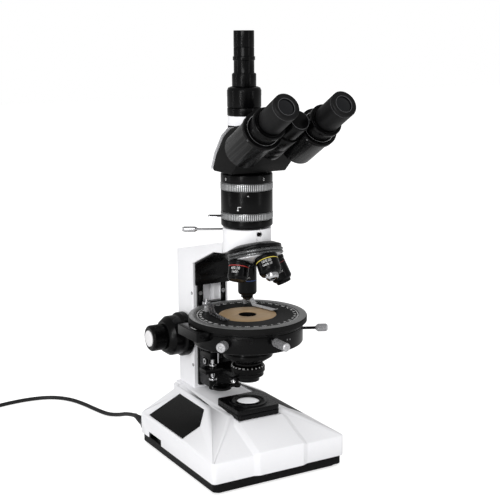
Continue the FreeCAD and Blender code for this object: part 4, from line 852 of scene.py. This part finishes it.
for k in (0, -1):
    bm.faces.new((inner_left[k], inner_right[k], outer_right[k], outer_left[k]))
bmesh.ops.recalc_face_normals(bm, faces=bm.faces)
back_mesh = bpy.data.meshes.new("head_back")
bm.to_mesh(back_mesh)
bm.free()
shaded(back_mesh)
fitted("head_back", back_mesh, "head", white_enamel, "white_paint")
socket_screw("head_screw", (-33.4, -40.5, 342.1), leftward, 1.3, 2, "head", zinc, "steel")
dressed("hinge_hub", "hub_cap", "head", black_anodised, "black_paint", edge=0.6)
turned("phototube_hood", [
    (11, 388.9), (17.6, 388.9), (18.4, 389.7), (18.4, 397.2), (17.5, 397.5), (17.5, 397.9),
    (18.4, 398.2), (18.4, 415.7), (17.2, 418.5), (14.4, 419.7), (11, 419.7)],
    riser, up, "head", black_anodised, "tube_black", "phototube", ease=0.4, sides=96)
turned("phototube_sleeve", [
    (0, 390), (11, 390), (11, 419.7), (13, 419.7), (13, 432.8), (12, 434), (11, 434), (11, 447.1),
    (11.9, 447.6), (11.9, 451.2), (11, 451.6), (11, 460.4), (10.7, 460.6), (10.7, 461.0), (11, 461.2),
    (11, 478), (10.5, 478.5), (9.5, 478.5), (9.5, 454.5), (0, 454.5)],
    riser, up, "head", black_anodised, "tube_black", ease=0.15, sides=96)

tube_lean = math.radians(30)
eyeward = Vector((0, -math.cos(tube_lean), math.sin(tube_lean)))
eye_half = 33.0
eye_y = -136
eye_z = 408
dot_back = 54.5
dot_r = 21
line_deep = 0.4
line_wide = 0.35
eye_glass = finish_of("eye_glass", (16, 17, 20), (10, 11, 13), (0.06, 0.1), 300, 0.0, specular=0.35)
line_and_painted_highlight = finish_of("line_and_painted_highlight", (96, 96, 98), (74, 74, 76), (0.35, 0.5), 700, 0.01, specular=0.3)
grip_rubber = finish_of("grip_rubber", (18, 18, 19), (12, 12, 13), (0.42, 0.55), 1500, 0.05, specular=0.18)
for hand, x, dot_way in (
    ("left", -eye_half, Vector((-0.9, -0.25, -0.35))),
    ("right", eye_half, Vector((-0.8, -0.3, -0.5))),
):
    eye_end = place(x, eye_y, eye_z)
    tube = f"{hand}_tube"
    turned(f"{hand}_eyepiece_body", [
        (0, 2.7), (8.6, 2.7), (8.6, 1.4), (10.4, 0.5), (12.9, 0), (13.9, 1), (13.9, 33), (12.7, 33),
        (12.7, 36), (11.6, 36), (11.6, 60), (0, 60)],
        eye_end, -eyeward, tube, grip_rubber, "tube_black", f"{hand}_eyepiece", ease=0.3, sides=72)
    turned(f"{hand}_eye_lens", [(0, 1.5), (3, 1.6), (6, 1.9), (8.5, 2.4), (8.5, 2.9), (0, 2.9)],
           eye_end, -eyeward, tube, eye_glass, "lens", ease=0, sides=48)
    # The grey ring at the eyecup's front edge is a painted highlight; the one round the lens is a grey
    # ring.
    for label, r, s in (("front", 13.95, 3.6), ("lens", 9.1, 1.05)):
        turned(f"{hand}_{label}_line", [
            (r - line_deep, s), (r, s), (r, s + line_wide), (r - line_deep, s + line_wide)],
            eye_end, -eyeward, tube, line_and_painted_highlight, "steel", ease=0, sides=72)
    dressed(f"{hand}_barrel_body", f"{hand}_barrel", tube, black_anodised, "tube_black", edge=0.35)
    # A bright satin ring at the rim recess's inner edge: a painted highlight on the black edge.
    turned(f"{hand}_rim_painted_highlight", [(16.8, 51.9), (17.25, 51.9), (17.25, 52.3), (16.8, 52.3)], eye_end,
           -eyeward, tube, satin, "steel", ease=0, sides=96)
    dot_way = (dot_way - eyeward * dot_way.dot(eyeward)).normalized()
    dot_at = Vector((x, eye_y, eye_z)) - eyeward * dot_back + dot_way * dot_r
    socket_screw(f"{hand}_tube_screw", dot_at, dot_way, 0.9, 1.5, tube, zinc, "steel")

# Between the tubes a round dial stands on the hub, with one fine ring on its face. The left tube carries
# the dioptre ring.
between_eyes = place(0, eye_y, eye_z)
turned("hub_dial", [
    (0, 33), (9.6, 33), (9.6, 33.6), (10.4, 33.6), (11.3, 34.6), (11.3, 84), (0, 84)],
    between_eyes, -eyeward, "head", black_anodised, "black_paint", ease=0.3, sides=72)
turned("hub_dial_line", [(9.7, 33.1), (10.1, 33.1), (10.1, 33.7), (9.7, 33.7)], between_eyes, -eyeward,
       "head", line_and_painted_highlight, "steel", ease=0, sides=72)
turned("dioptre_grip", [
    (15.05, 36), (16.9, 36), (17.5, 36.6), (17.5, 40.4), (16.9, 41), (15.05, 41)],
    place(-eye_half, eye_y, eye_z), -eyeward, "dioptre", black_anodised, "tube_black", "dioptre_ring",
    ease=0.15, sides=96, ribs=(36.8, 40.2, 0.25))

# Mains plug: a vinyl plug with two round pins, moulded onto the free end of the lead.
dressed("plug_body", "plug", "stand", vinyl, "cord", edge=0.8)
